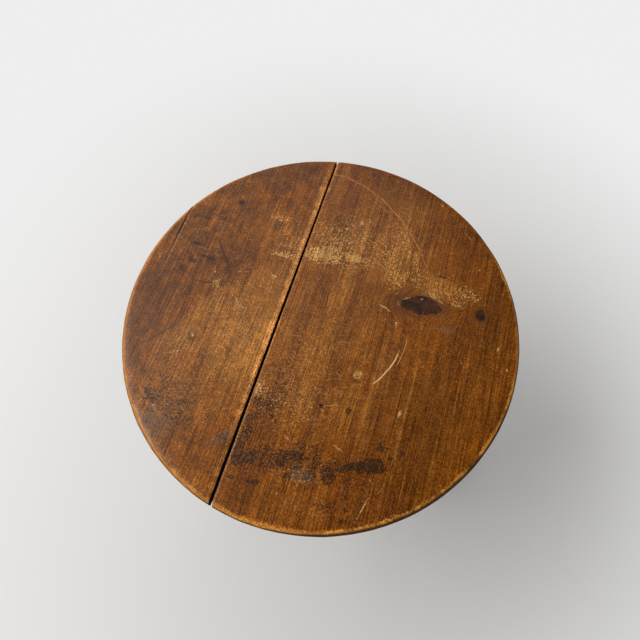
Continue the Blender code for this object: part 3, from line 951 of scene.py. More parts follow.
# %% Nicks
# Places where a knock has left raw or whitish wood.
NICKS = [
    line(17, 200, 2.2, 4.8, 0, 1.2),
    line(17, 205, 1.0, 3, 25, 0.7),
    line(-98, 51, 4.5, 2.0, -10, 1.2),
    line(-100, 48, 1.6, 2, 0, 0.9),
    line(123, 27, 1.5, 4.8, 14, 1.2),
    line(292, 31, 2.0, 4.5, 0, 0.9),
    line(311, 0, 1.5, 4, 0, 0.7),
    line(164, -118, 1.8, 7, -10, 1.2),
    line(-190, -91, 2.6, 3.2, 20, 0.95),
    line(238, 167, 1.5, 1.8, 0, 0.8),
    line(251, 190, 1.3, 1.6, 0, 0.6),
    line(149, 280, 2.4, 2.4, 0, 0.6),
    line(97, 50, 9, 1.6, -18, 0.85),
    line(106, 46, 4, 1.4, -10, 0.6),
    line(129, 77, 7, 1.4, 32, 0.75),
    line(118, 64, 1.2, 5, 30, 0.5),
    line(154, 83, 2.4, 1.4, 20, 0.5),
    line(171, 94, 6, 2.4, -25, 0.8),
    line(186, 87, 6, 1.2, -20, 0.75),
    line(162, 59, 1.0, 1.4, 0, 0.5),
    line(-189, 13, 3, 2.4, 20, 0.85),
    line(-199, 29, 1.4, 2, 10, 0.8),
    line(-157, 42, 5, 1.6, 0, 0.4),
    line(60, -136, 11, 0.9, 22, 0.6),
    line(14, -204, 8, 1.0, -22, 0.5),
    line(89, -195, 8, 1.2, -20, 0.6),
    line(145, -267, 0.9, 18, -15, 0.85),
    line(147, -226, 5, 0.8, -40, 0.6),
    line(163, -235, 0.8, 5, -20, 0.5),
    line(207, 228, 11, 0.8, -40, 0.5),
    line(-143, -12, 8, 1.1, -48, 0.6),
    line(-130, -20, 9, 1.1, -4, 0.6),
    line(-182, -208, 1.6, 1.8, 0, 0.7),
    line(-203, -217, 1.6, 1.8, 0, 0.6),
    line(-225, -214, 1.6, 1.8, 0, 0.4),
    line(-100, 93, 20, 1.0, 4, 0.45),
    line(-46, 102, 14, 0.9, 30, 0.5),
    line(-14, 104, 26, 0.9, 17, 0.45),
    line(24, 110, 14, 0.9, 2, 0.4),
    line(240, -10, 8, 0.7, -52, 0.4),
    line(250, -10, 8, 0.7, 48, 0.4),
    line(-288, 60, 0.8, 66, 0, 0.4),
    line(-288.4, 98, 1.0, 42, 0, 0.45),
    line(50, -30, 12, 0.7, 8, 0.35),
    line(-303, 28, 3, 2, 0, 0.4),
]
print(len(NICKS), "nicks")

# %% Ring scratches
# Rings rubbed by the foot of a crock, and two arcs cut by one that was dragged.
RUBBED_RINGS = [
    Ring(-113, 9, 294, 51, 29, 1.5, 0.85),
    Ring(-113, 9, 283, 47, 14, 1.4, 0.50),
    Ring(-50, 200, 90, 92, 32, 1.3, 1.00),
]
CUT_RINGS = [
    Ring(20, -7, 120, -22, 21, 1.35, 1.2),
    Ring(27, -6, 120, -5, 16, 0.7, 0.7),
]
LISTED = THIN_STAIN + THICK_STAIN + BARE_PATCHES + SPILLS + SMUDGES + SCUFFED
LISTED += INK_MARKS + NICKS
RINGS = RUBBED_RINGS + CUT_RINGS
print(len(LISTED), "marks and", len(RINGS), "ring scratches listed")

# %% [markdown]
# ## Laying the marks
#
# A list becomes one mask by taking the strongest mark at each point. Each mark could have a
# noise of its own for its ragged edge, but all share one, which costs far less. Each board
# takes only the marks that lie on its own side of the joint.

# %% Where a mark lies
MEASURED = 0.00099
MEASURED_MIDDLE_X = 1.7
MEASURED_MIDDLE_Y = -0.6


def centre(item):
    """Where a listed mark lies on the top, in metres."""
    return (
        (item.x - MEASURED_MIDDLE_X) * MEASURED,
        (item.y - MEASURED_MIDDLE_Y) * MEASURED,
    )


def on_side(item, side):
    return (centre(item)[0] - JOINT_X) * side >= 0


print("marks on the wide board:", sum(on_side(item, WIDE) for item in LISTED))
print("marks on the narrow board:", sum(on_side(item, NARROW) for item in LISTED))

# %% Laying the marks
# What every layer of a board's finish reads: the node tree, the place on the board in two
# forms, a coarse noise and two fine ones, and the board's side of the joint.
Ground = namedtuple("Ground", "tree at spot ragged fine grit side")


def placed(spot, item):
    """A mark's place and turn, as the inputs that the groups share."""
    x, y = centre(item)
    return {
        "X": spot["X"],
        "Y": spot["Y"],
        "Centre X": x,
        "Centre Y": y,
        "Turn": math.radians(item.turn),
    }


def stronger(tree, total, mask, strength):
    """The greater of two masks. There is no total before the first mask."""
    mask = calc(tree, "MULTIPLY", mask, strength)
    return mask if total is None else calc(tree, "MAXIMUM", total, mask)


def lay_marks(ground, items):
    total = None
    for item in items:
        if not on_side(item, ground.side):
            continue
        inputs = placed(ground.spot, item) | {
            "Noise": ground.ragged,
            "Half length": item.half_x * MEASURED,
            "Half width": item.half_y * MEASURED,
            "Ragged": item.ragged,
            "Soft": item.soft,
        }
        mask = use_group(ground.tree, MARK, inputs)["Mask"]
        total = stronger(ground.tree, total, mask, item.strength)
    return total


def lay_rings(ground, items):
    total = None
    for item in items:
        inputs = placed(ground.spot, item) | {
            "Noise": ground.ragged,
            "Radius": item.radius * MEASURED,
            "Half angle": math.radians(item.half_angle),
            "Half width": item.half_width * MEASURED,
        }
        mask = use_group(ground.tree, RING_SCRATCH, inputs)["Mask"]
        total = stronger(ground.tree, total, mask, item.strength)
    return total


def lay_knot(ground, item):
    inputs = {
        "Vector": ground.at,
        "Noise": ground.ragged,
        "Centre": (*centre(item), TOP_Z),
        "Turn": (0, 0, math.radians(item.turn)),
        "Half size": (item.half_x * MEASURED, item.half_y * MEASURED, 1.0),
    }
    return use_group(ground.tree, KNOT, inputs)


# %% [markdown]
# ## The finish of the top
#
# Brown stain and wax over pine. Where hands and cloths have rubbed, the stain thins to
# orange and then flakes to bare yellow wood. Spills have left it black, the edges along the
# joint are worn pale, and below the rubbed rim lies grime. On the right and near side that
# dark band reaches higher as painted shade, where the rounded rim turns away from the light.
# One noise between two colours would give a brown, but no history. So each thing that befell
# the top is a layer of its own, and the order of the layers is the order in which they came
# about.

# %% Colours of the top
STAIN_DEEP = (0.110, 0.026, 0.0006)
STAIN_WARM = (0.206, 0.0605, 0.0023)
STAIN_THICK = (0.108, 0.032, 0.0020)
STAIN_THIN = (0.316, 0.121, 0.0190)
BARE_WOOD = (0.520, 0.275, 0.0800)
SPILL_BLACK = (0.021, 0.0100, 0.0040)
KNOT_DARK = (0.014, 0.0062, 0.0030)
KNOT_RED = (0.085, 0.026, 0.0090)
INK_BROWN = (0.032, 0.012, 0.0030)
DUST_GREY = (0.160, 0.110, 0.0700)
NICK_PALE = (0.680, 0.410, 0.1700)
SCUFF_TAN = (0.460, 0.220, 0.0780)
EDGE_WORN = (0.480, 0.180, 0.0300)
JOINT_WORN = (0.560, 0.225, 0.056)
EDGE_BARE = (0.740, 0.315, 0.0420)
# Grime under the rim, which on the right and near side is also painted shade.
RIM_GRIME_AND_SHADE = (0.040, 0.013, 0.0030)
print("stain from", STAIN_DEEP, "to", STAIN_THIN, "over", BARE_WOOD)

# %% Colour helpers


def blend(tree, factor, a, b, mode="MIX"):
    """Mixes two colours. Returns the mixed colour."""
    node = add_node(tree, "Mix", data_type="RGBA", blend_type=mode)
    for key, value in (("Factor_Float", factor), ("A_Color", a), ("B_Color", b)):
        socket = next(item for item in node.inputs if item.identifier == key)
        plug(tree, socket, (*value, 1.0) if isinstance(value, tuple) else value)
    return next(item for item in node.outputs if item.identifier == "Result_Color")


def cover(tree, colour, mask, share, new_colour):
    """Lays a new colour over another where a mask is high, at most by a share."""
    return blend(tree, calc(tree, "MULTIPLY", mask, share), colour, new_colour)


def shaded(tree, colour, shade):
    """A colour made darker or lighter."""
    grey = add_node(tree, "CombineColor", {0: shade, 1: shade, 2: shade}).outputs[0]
    return blend(tree, 1.0, colour, grey, "MULTIPLY")


def grain_tone(tree, grain, bands, streaks, mottle):
    """One tone from three parts of the grain, by their shares."""
    tone = calc(tree, "MULTIPLY", grain["Bands"], bands)
    tone = calc(tree, "MULTIPLY_ADD", grain["Streaks"], streaks, tone)
    return calc(tree, "MULTIPLY_ADD", grain["Mottle"], mottle, tone)


def shade_grain(tree, grain, fine, colour):
    """Fibres and patina darken and lighten whatever colour lies on the wood."""
    shade = ramp(tree, grain["Fibres"], 0.0, 1.0, 0.60, 1.40)
    shade = calc(tree, "MULTIPLY", shade, ramp(tree, grain["Mottle"], 0.0, 1.0, 0.92, 1.08))
    shade = calc(tree, "MULTIPLY", shade, ramp(tree, fine, 0.28, 0.72, 0.42, 1.58))
    return shaded(tree, colour, shade)


def relief(tree, shader, height, strength, distance):
    """Shows a height as fine relief, in the way the light falls on it."""
    inputs = {"Height": height, "Strength": strength, "Distance": distance}
    plug(tree, shader["Normal"], add_node(tree, "Bump", inputs).outputs[0])


# %% Grain and stain
RAGGED_SHARE = 0.45


def flake_noise(tree, noise, low, high, share, ragged):
    """A noise for flakes: a fine one with some of the coarse ragged one."""
    flakes = calc(tree, "MULTIPLY", ramp(tree, noise, low, high), share)
    return calc(tree, "MULTIPLY_ADD", ragged, RAGGED_SHARE, flakes)


def knotted_grain(ground):
    """A board's grain, and the knots that bend it. Only the wide board has knots."""
    tree, grain_at, knots = ground.tree, ground.at, []
    if ground.side == WIDE:
        knots = [lay_knot(ground, item) for item in (BIG_KNOT, SMALL_KNOT)]
    for knot in knots:
        inputs = {0: grain_at, 1: knot["Push"]}
        grain_at = add_node(tree, "VectorMath", inputs, operation="ADD").outputs[0]
    return use_group(tree, PINE_GRAIN, {"Vector": grain_at}), knots


def stained_wood(ground, grain):
    """Stain over pine, thick and thin."""
    tree = ground.tree
    tone = grain_tone(tree, grain, 0.52, 0.32, 0.16)
    colour = blend(tree, ramp(tree, tone, 0.02, 0.98), STAIN_DEEP, STAIN_WARM)
    thick = lay_marks(ground, THICK_STAIN)
    thick = calc(tree, "MULTIPLY", thick, ramp(tree, tone, 0.3, 0.9, 1.0, 0.5))
    colour = blend(tree, thick, colour, STAIN_THICK)
    thin = lay_marks(ground, THIN_STAIN)
    thin = calc(tree, "MULTIPLY", thin, ramp(tree, tone, 0.2, 0.7, 0.35, 1.0))
    colour = blend(tree, thin, colour, STAIN_THIN)
    threads = calc(tree, "MULTIPLY", grain["Threads"], ramp(tree, thin, 0.0, 0.8, 0.28, 0.75))
    return blend(tree, threads, colour, STAIN_THIN)


def flaked_wood(ground, colour):
    """Bare patches and black spills, both in flakes. Returns the bare part too."""
    tree = ground.tree
    bare = lay_marks(ground, BARE_PATCHES)
    flakes = speckle(tree, ground.at, 300.0, 3.0, 0.65, 0.6)
    flakes = flake_noise(tree, flakes, 0.34, 0.68, 0.60, ground.ragged)
    bare = use_group(tree, FLAKING, {"Amount": bare, "Noise": flakes})["Mask"]
    colour = cover(tree, colour, bare, 0.80, BARE_WOOD)
    spills = lay_marks(ground, SPILLS)
    coarse = calc(tree, "SUBTRACT", 1.0, ground.grit)
    spills = use_group(tree, FLAKING, {"Amount": spills, "Noise": coarse})["Mask"]
    return cover(tree, colour, spills, 0.84, SPILL_BLACK), bare


# %% Worn joint and rim
# How far from the joint its worn edge reaches full strength, and how far it goes.
JOINT_WEAR_NARROW = (0.0065, 0.0135)
JOINT_WEAR_WIDE = (0.0025, 0.0065)
# The shares of the top's half width at which the rim's wear begins and is full.
RIM_CHIPPED = (0.958, 0.986)
RIM_RUBBED = (0.968, 0.986)
# How far below the top the grime and painted shade on the rim are full, and how far below they
# begin.
GRIME_AND_SHADE_DEPTH = (0.0060, 0.0034)


def worn_joint(ground, colour):
    """The edges along the joint. That of the narrow board is worn more."""
    tree, spot = ground.tree, ground.spot
    shaken = calc(tree, "SUBTRACT", ground.ragged, NOISE_MIDDLE)
    if ground.side == NARROW:
        full, end = JOINT_WEAR_NARROW
        inward = calc(tree, "MULTIPLY_ADD", shaken, 0.012, spot["X"])
        edge = ramp(tree, inward, JOINT_X - end, JOINT_X - full)
        edge = calc(tree, "MULTIPLY", edge, ramp(tree, spot["Y"], -0.24, -0.12, 0.3, 1.0))
        edge = calc(tree, "MULTIPLY", edge, ramp(tree, spot["Y"], 0.21, 0.30, 1.0, 0.1))
    else:
        full, end = JOINT_WEAR_WIDE
        inward = calc(tree, "MULTIPLY_ADD", shaken, 0.006, spot["X"])
        edge = ramp(tree, inward, JOINT_X + full, JOINT_X + end, 0.42, 0.0)
    edge = calc(tree, "MULTIPLY", edge, ramp(tree, ground.grit, 0.30, 0.60, 0.68, 1.0))
    return blend(tree, edge, colour, JOINT_WORN)


def worn_rim(ground, colour):
    """The rubbed and chipped rim. Returns the colour, the rubbed part, and the grime below with
    its painted shade.
    """
    tree, at, spot, grit = ground.tree, ground.at, ground.spot, ground.grit
    oval = stretch(tree, at, (1 / HALF_ACROSS, 1 / HALF_ALONG, 0.0))
    share = add_node(tree, "VectorMath", {0: oval}, operation="LENGTH").outputs["Value"]
    shaken = calc(tree, "SUBTRACT", ground.ragged, NOISE_MIDDLE)
    share = calc(tree, "MULTIPLY_ADD", shaken, 0.020, share)
    patchy = ramp(tree, speckle(tree, at, 11.0, 2.0, 0.6), 0.40, 0.58)
    patchy = calc(tree, "MULTIPLY", patchy, ramp(tree, spot["X"], -0.20, 0.05, 0.5, 1.0))
    far_side = ramp(tree, spot["Y"], 0.12, 0.26, 1.0, 0.3)
    patchy = calc(tree, "MULTIPLY", patchy, far_side)
    rubbed = ramp(tree, share, *RIM_RUBBED)
    chipped = calc(tree, "MULTIPLY", ramp(tree, share, *RIM_CHIPPED, 0.0, 0.86), patchy)
    shown = calc(tree, "MULTIPLY", rubbed, ramp(tree, grit, 0.30, 0.60, 0.50, 0.90))
    shown = calc(tree, "MULTIPLY", shown, far_side)
    colour = blend(tree, shown, colour, EDGE_WORN)
    chips = use_group(tree, FLAKING, {"Amount": chipped, "Noise": grit})["Mask"]
    colour = cover(tree, colour, chips, 0.88, EDGE_BARE)
    # Grime on the lower rim all round. On the right and near side it reaches higher, as painted
    # shade where the rim faces away from the window.
    depth = calc(tree, "MULTIPLY_ADD", shaken, 0.003, spot["Z"])
    darker = ramp(tree, spot["X"], -0.05, 0.20, 0.0, 0.0029)
    darker = calc(tree, "MULTIPLY", darker, ramp(tree, spot["Y"], -0.18, 0.02, 1.0, 0.3))
    depth = calc(tree, "SUBTRACT", depth, darker)
    full, start = GRIME_AND_SHADE_DEPTH
    below = ramp(tree, depth, TOP_Z - full, TOP_Z - start, 0.95, 0.0)
    return blend(tree, below, colour, RIM_GRIME_AND_SHADE), rubbed, below


print("the rim is rubbed from", RIM_RUBBED[0], "of the top's half width outwards")

# %% Marks on the finish


def marked_wood(ground, colour):
    """Scuffs, smudges and ink."""
    tree = ground.tree
    scuffed = lay_marks(ground, SCUFFED)
    scuffs = use_group(tree, SCUFFS, {"Vector": ground.at})["Mask"]
    colour = blend(tree, calc(tree, "MULTIPLY", scuffed, scuffs), colour, SCUFF_TAN)
    colour = cover(tree, colour, lay_marks(ground, SMUDGES), ground.fine, DUST_GREY)
    return blend(tree, lay_marks(ground, INK_MARKS), colour, INK_BROWN)


def knotted_wood(ground, knots, colour):
    """A red halo and a dark heart for each knot."""
    tree = ground.tree
    for knot in knots:
        colour = cover(tree, colour, knot["Halo"], 0.6, KNOT_RED)
        heart = ramp(tree, ground.ragged, 0.38, 0.66, 0.05, 0.9)
        colour = blend(tree, knot["Body"], colour, blend(tree, heart, KNOT_DARK, KNOT_RED))
    return colour


def scratched_wood(ground, colour):
    """Nicks on both boards, and rubbed and cut rings on the wide one."""
    tree = ground.tree
    nicks = lay_marks(ground, NICKS)
    nicks = calc(tree, "MULTIPLY", nicks, ramp(tree, ground.fine, 0.40, 0.58, 0.05, 1.0))
    if ground.side == WIDE:
        rings = lay_rings(ground, RUBBED_RINGS)
        rings = calc(tree, "MULTIPLY", rings, ramp(tree, ground.grit, 0.38, 0.60, 0.3, 1.0))
        colour = blend(tree, rings, colour, EDGE_WORN)
        nicks = calc(tree, "MAXIMUM", nicks, lay_rings(ground, CUT_RINGS))
    return cover(tree, colour, nicks, 0.85, NICK_PALE)


# %% The finish of a board
TOP_SPECULAR = 0.2
RIM_COAT_ROUGHNESS = 0.18


def wax_sheen(ground, shader, bare, rubbed, below):
    """Wax shines most on the burnished rim, and least on bare wood and in the grime and painted
    shade below the rim.
    """
    tree = ground.tree
    shader["Specular IOR Level"].default_value = TOP_SPECULAR
    shader["Coat Roughness"].default_value = RIM_COAT_ROUGHNESS
    burnished = calc(tree, "SUBTRACT", rubbed, below)
    plug(tree, shader["Coat Weight"], ramp(tree, burnished, 0.3, 1.0, 0.0, 0.25))
    rough = calc(tree, "MULTIPLY_ADD", bare, 0.2, 0.29)
    rough = calc(tree, "MULTIPLY_ADD", below, 0.5, rough)
    rough = calc(tree, "MULTIPLY_ADD", ground.fine, 0.12, rough)
    rounded = ramp(tree, ground.spot["Z"], TOP_Z - 0.0016, TOP_Z - 0.0004, 0.22, 0.0)
    plug(tree, shader["Roughness"], calc(tree, "ADD", rough, rounded))


def worn_top(name, side):
    """The finish of one board. The patina of the narrow one is cloudy."""
    material, tree, shader = new_material(name)
    at = add_node(tree, "TexCoord").outputs["Object"]
    spot = add_node(tree, "SeparateXYZ", {0: at}).outputs
    ragged = speckle(tree, at, 55.0, 5.0, 0.62)
    fine = speckle(tree, stretch(tree, at, (1.0, 0.75, 1.0)), 440.0, 3.0, 0.65)
    grit = flake_noise(tree, fine, 0.25, 0.75, 0.55, ragged)
    ground = Ground(tree, at, spot, ragged, fine, grit, side)
    grain, knots = knotted_grain(ground)

    colour = stained_wood(ground, grain)
    colour, bare = flaked_wood(ground, colour)
    colour = worn_joint(ground, colour)
    colour = shade_grain(tree, grain, fine, colour)
    if side == NARROW:
        colour = shaded(tree, colour, ramp(tree, ragged, 0.36, 0.64, 0.80, 1.20))
    colour = marked_wood(ground, colour)
    colour = knotted_wood(ground, knots, colour)
    colour = scratched_wood(ground, colour)
    colour, rubbed, below = worn_rim(ground, colour)
    plug(tree, shader["Base Color"], colour)

    wax_sheen(ground, shader, bare, rubbed, below)
    height = calc(tree, "MULTIPLY_ADD", grain["Fibres"], 0.4, fine)
    relief(tree, shader, height, 0.3, 0.0005)
    return material


# %% [markdown]
# ## Wood that the finish never reached
#
# The underside was left as the plane left it and has only gone brown with age. The walls of
# the open joint and of the split are packed with old wax and dust, and are painted near black
# and almost without reflection, which is also painted shade for these deep, narrow slots. Both
# could have flat colours, but they show from below and at a slant, so they have the same
# grain as the rest.

# %% Bare underside, and joint walls dark with dirt and painted shade
RAW_DARK = (0.125, 0.062, 0.0240)
RAW_LIGHT = (0.285, 0.160, 0.0700)
RAW_SPECULAR = 0.3
# Near black and hardly reflecting: dirt in the joint and the split, and painted shade for these
# deep slots.
DIRT_AND_SHADE_DARK = (0.010, 0.006, 0.0035)
DIRT_AND_SHADE_LIGHT = (0.028, 0.016, 0.0090)
DIRT_AND_SHADE_SPECULAR = 0.02


def plain_wood(name, dark, light, specular, turn=(0, 0, 0)):
    """Unfinished wood. Its grain runs along Y after the turn."""
    material, tree, shader = new_material(name)
    at = add_node(tree, "TexCoord").outputs["Object"]
    local = add_node(tree, "Mapping", {"Vector": at, "Rotation": turn}).outputs[0]
    grain = use_group(tree, PINE_GRAIN, {"Vector": local})
    tone = grain_tone(tree, grain, 0.45, 0.35, 0.20)
    plug(tree, shader["Base Color"], blend(tree, tone, dark, light))
    plug(tree, shader["Roughness"], ramp(tree, grain["Fibres"], 0.0, 1.0, 0.78, 0.92))
    shader["Specular IOR Level"].default_value = specular
    relief(tree, shader, grain["Fibres"], 0.4, 0.0005)
    return material


raw_underside = plain_wood("raw_underside", RAW_DARK, RAW_LIGHT, RAW_SPECULAR)
joint_dirt_and_shade = plain_wood("joint_dirt_and_shade", DIRT_AND_SHADE_DARK, DIRT_AND_SHADE_LIGHT, DIRT_AND_SHADE_SPECULAR)
print("made", raw_underside.name, "and", joint_dirt_and_shade.name)

# %% Dressing the boards
FINISH, RAW, DIRT_AND_SHADE = range(3)
FACING_DOWN = -0.8


def face_finish(face):
    """Which of a board's three materials one of its faces has."""
    in_joint = abs(face.center.x - JOINT_X) < GAP_NEAR
    in_split = abs(face.center.x - SPLIT_X) < SPLIT_MOUTH and face.center.y > 0
    if (in_joint or in_split) and abs(face.normal.x) > FACING:
        return DIRT_AND_SHADE
    return RAW if face.normal.z < FACING_DOWN else FINISH


for board, side in ((wide_board, WIDE), (narrow_board, NARROW)):
    finish = worn_top(f"worn_pine_{board.name}", side)
    for material in (finish, raw_underside, joint_dirt_and_shade):
        board.data.materials.append(material)
    for face in board.data.polygons:
        face.material_index = face_finish(face)
    print(finish.name, "has", len(finish.node_tree.nodes), "nodes")

# %% [markdown]
# ## The timbers of the frame
#
# Three five-sided legs, three frieze rails and three stretchers. They could be modelled anew,
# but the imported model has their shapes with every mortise, tenon and peg hole, so each timber
# starts as a copy of its node with the shared points merged. Slices across its length give
# its edges points to move, and Displace modifiers wear them: knocks along the edges, feet
# bruised by stone floors, and a hollow in each stretcher where shoes have rested. All wear
# goes inwards.

# %% Copies of the timbers
LEG_ANGLES = {"far": 90, "left": 210, "right": 330}
RAIL_TURNS = {"near": 0, "right": 120, "left": 240}
TIMBER_SLICE = 0.010
UP = Vector((0, 0, 1))


def outward(degrees):
    """The level direction at an angle, counted from +X."""
    return Vector((math.cos(math.radians(degrees)), math.sin(math.radians(degrees)), 0))


def timber_copy(node_name, along):
    """A copy of a node with its points merged, sliced across its length."""
    piece = bpy.data.objects.new("worn_" + node_name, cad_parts[node_name].data.copy())
    bpy.context.scene.collection.objects.link(piece)
    edit(piece)
    bpy.ops.mesh.select_all(action="SELECT")
    bpy.ops.mesh.remove_doubles(threshold=SMALL)
    shape = bmesh.from_edit_mesh(piece.data)
    places = [vertex.co.dot(along) for vertex in shape.verts]
    low, high = min(places), max(places)
    for step in range(1, int((high - low) / TIMBER_SLICE)):
        bpy.ops.mesh.select_all(action="SELECT")
        bpy.ops.mesh.bisect(plane_co=along * (low + step * TIMBER_SLICE), plane_no=along)
    return done(piece)


legs = {
    angle: timber_copy(f"leg_{name}", UP) for name, angle in LEG_ANGLES.items()
}
frieze_rails = {
    turn: timber_copy(f"frieze_rail_{name}", outward(turn))
    for name, turn in RAIL_TURNS.items()
}
stretchers = {
    turn: timber_copy(f"stretcher_{name}", outward(turn))
    for name, turn in RAIL_TURNS.items()
}
timbers = [*legs.values(), *frieze_rails.values(), *stretchers.values()]
for piece in timbers:
    print(piece.name, "has", len(piece.data.polygons), "faces")

# %% Hollows in the stretchers
TREAD_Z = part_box("stretcher_near")[1][2]
TREAD_DEPTH = 0.0060
TREAD_SHARE = 0.72  # of a stretcher's half length
TREAD_SKIN = 0.003  # points this close to the upper face sink with it
TREAD_LEVEL = 1.3  # above 1, so that the whole hollow sinks


def tread_hollow(stretcher, turn):
    """Sinks the top of a stretcher, most in the middle and towards its outer edge."""
    along, out = outward(turn), outward(turn - 90)
    points = stretcher.data.vertices
    half = max(point.co.dot(along) for point in points)
    inner = min(point.co.dot(out) for point in points)
    outer = max(point.co.dot(out) for point in points)
    weights = {}
    for point in points:
        share = point.co.dot(along) / (TREAD_SHARE * half)
        if point.co.z > TREAD_Z - TREAD_SKIN and abs(share) < 1:
            across = (point.co.dot(out) - inner) / (outer - inner)
            weights[point.index] = (1 - share * share) ** 2 * (0.4 + 0.6 * across)
    wear(stretcher, treads, weights, TREAD_DEPTH, "Z", TREAD_LEVEL)
    print(stretcher.name, "has a hollow of", len(weights), "points")


treads = clouds("treads", 0.060, 2)
for turn, stretcher in stretchers.items():
    tread_hollow(stretcher, turn)

# %% Knocked edges and feet
KNOCK_DEPTH = 0.0012
FOOT_DEPTH = 0.0022
FOOT_HEIGHT = 0.045
FOOT_SOLE = 0.001  # points lower than this stand on the floor, and stay
EDGE_COSINE = 0.97  # of the least angle between two faces that makes an edge
TIMBER_SMOOTH = 42

knocks = clouds("knocks", 0.022, 3)
bruises = clouds("bruises", 0.014, 2)


def edge_points(mesh):
    """Points where faces of clearly different directions meet."""
    normals = {}
    for face in mesh.polygons:
        for index in face.vertices:
            normals.setdefault(index, []).append(face.normal)
    return [
        index
        for index, found in normals.items()
        if any(found[0].dot(normal) < EDGE_COSINE for normal in found)
    ]


def knock_edges(piece):
    """Knocks the edges, and bruises those near the floor. The soles stay level."""
    heights = {index: piece.data.vertices[index].co.z for index in edge_points(piece.data)}
    body = {index: 1.0 for index, z in heights.items() if z > FOOT_HEIGHT}
    feet = {
        index: 1.0 - z / FOOT_HEIGHT
        for index, z in heights.items()
        if FOOT_SOLE < z <= FOOT_HEIGHT
    }
    wear(piece, knocks, body, KNOCK_DEPTH, "NORMAL")
    if feet:
        wear(piece, bruises, feet, FOOT_DEPTH, "NORMAL")


def finish_timber(piece, node_name):
    settle(piece, TIMBER_SMOOTH)
    piece.modifiers.new("flat faces", "WEIGHTED_NORMAL").keep_sharp = True
    apply_modifiers(piece)
    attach(piece, "root")
    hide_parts(node_name)


for piece in timbers:
    knock_edges(piece)
    finish_timber(piece, piece.name.removeprefix("worn_"))
print("timbers worn:", len(timbers))

# %% [markdown]
# ## Finding the edges of a timber
#
# Stain wears off an edge first. Edges could be painted by hand, or found with a Bevel node,
# which is slow. Here the shader measures how far a point lies from each side of the timber's
# section. On a flat side one distance is nothing, and at an edge two are. So a sum of falling
# curves, less one, is 0 on the flats and 1 along the edges. Each timber is first turned so
# that X points outwards and Y along it.

# %% Sections of the legs
LEG_FOOT_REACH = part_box("leg_far")[1][1]
LEG_TOP_REACH = 0.238
LEG_INNER_FACE = 0.040
LEG_SIDE_FACE = 0.036
LEG_FOOT_FACE = 0.028
LEG_CORNER = math.radians(30)
FRAME_LOW, FRAME_TOP = (corner[2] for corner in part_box("frieze_rail_near"))
KNEE_Z = FRAME_LOW - 0.010  # below it the legs taper
SPLAY = (LEG_FOOT_REACH - LEG_TOP_REACH) / FRAME_TOP
EDGE_WIDTH = 0.0022  # how far wear reaches in from an edge


def leg_sides():
    """Of each side: its normal, and its distance from the middle of the outer side."""
    cosine, sine = math.cos(LEG_CORNER), math.sin(LEG_CORNER)
    front = LEG_INNER_FACE * cosine - LEG_SIDE_FACE * sine
    shoulder_x, shoulder_y = -LEG_SIDE_FACE * cosine, front + LEG_SIDE_FACE * sine
    sides = [((1.0, 0.0), 0.0)]
    for sign in (1, -1):
        sides.append(((sine, sign * cosine), front * cosine))
        sides.append(((-sine, sign * cosine), cosine * shoulder_y - sine * shoulder_x))
    return sides


def edge_mask(tree, distances):
    total = -1.0
    for gap in distances:
        fall = calc(tree, "MULTIPLY", gap, -1 / EDGE_WIDTH)
        total = calc(tree, "ADD", calc(tree, "EXPONENT", fall), total)
    return total


def leg_section(tree, spot):
    """Coordinates that lean and taper with a leg, and its edge mask."""
    height = spot["Y"]
    reach = calc(tree, "MULTIPLY_ADD", height, -SPLAY, LEG_FOOT_REACH)
    inward = calc(tree, "SUBTRACT", spot["X"], reach)
    foot = LEG_FOOT_FACE / LEG_INNER_FACE
    taper = calc(tree, "MULTIPLY_ADD", height, (1 - foot) / KNEE_Z, foot)
    taper = calc(tree, "MINIMUM", taper, 1.0)
    gaps = []
    for (east, north), far in leg_sides():
        out = calc(tree, "MULTIPLY", spot["Z"], north)
        out = calc(tree, "MULTIPLY_ADD", inward, east, out)
        gap = calc(tree, "SUBTRACT", calc(tree, "MULTIPLY", taper, far), out)
        gaps.append(calc(tree, "ABSOLUTE", gap))
    inside = add_node(tree, "CombineXYZ", {0: inward, 1: height, 2: spot["Z"]}).outputs[0]
    return inside, edge_mask(tree, gaps)


print("leg sides:", [tuple(round(v, 3) for v in normal) for normal, far in leg_sides()])

# %% Sections of the rails
FRIEZE_THICKNESS = 0.020
STRETCHER_LOW, STRETCHER_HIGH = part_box("stretcher_near")
STRETCHER_THICKNESS = STRETCHER_HIGH[1] - STRETCHER_LOW[1]


def rail_section(node_name, thickness, lean):
    """A function like leg_section for a rail of that thickness and lean."""
    low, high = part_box(node_name)
    middle_z, half_z = (low[2] + high[2]) / 2, (high[2] - low[2]) / 2
    middle_x = -(low[1] + high[1]) / 2

    def section(tree, spot):
        height = calc(tree, "SUBTRACT", spot["Z"], middle_z)
        reach = calc(tree, "MULTIPLY_ADD", height, -lean, middle_x)
        inward = calc(tree, "SUBTRACT", spot["X"], reach)
        beside = calc(tree, "SUBTRACT", thickness / 2, calc(tree, "ABSOLUTE", inward))
        above = calc(tree, "SUBTRACT", half_z, calc(tree, "ABSOLUTE", height))
        gaps = [calc(tree, "ABSOLUTE", gap) for gap in (beside, above)]
        inside = add_node(tree, "CombineXYZ", {0: inward, 1: spot["Y"], 2: height}).outputs[0]
        return inside, edge_mask(tree, gaps)

    return section


frieze_section = rail_section("frieze_rail_near", FRIEZE_THICKNESS, SPLAY / 2)
stretcher_section = rail_section("stretcher_near", STRETCHER_THICKNESS, 0.0)
print("stretchers are", round(STRETCHER_THICKNESS, 4), "m thick")

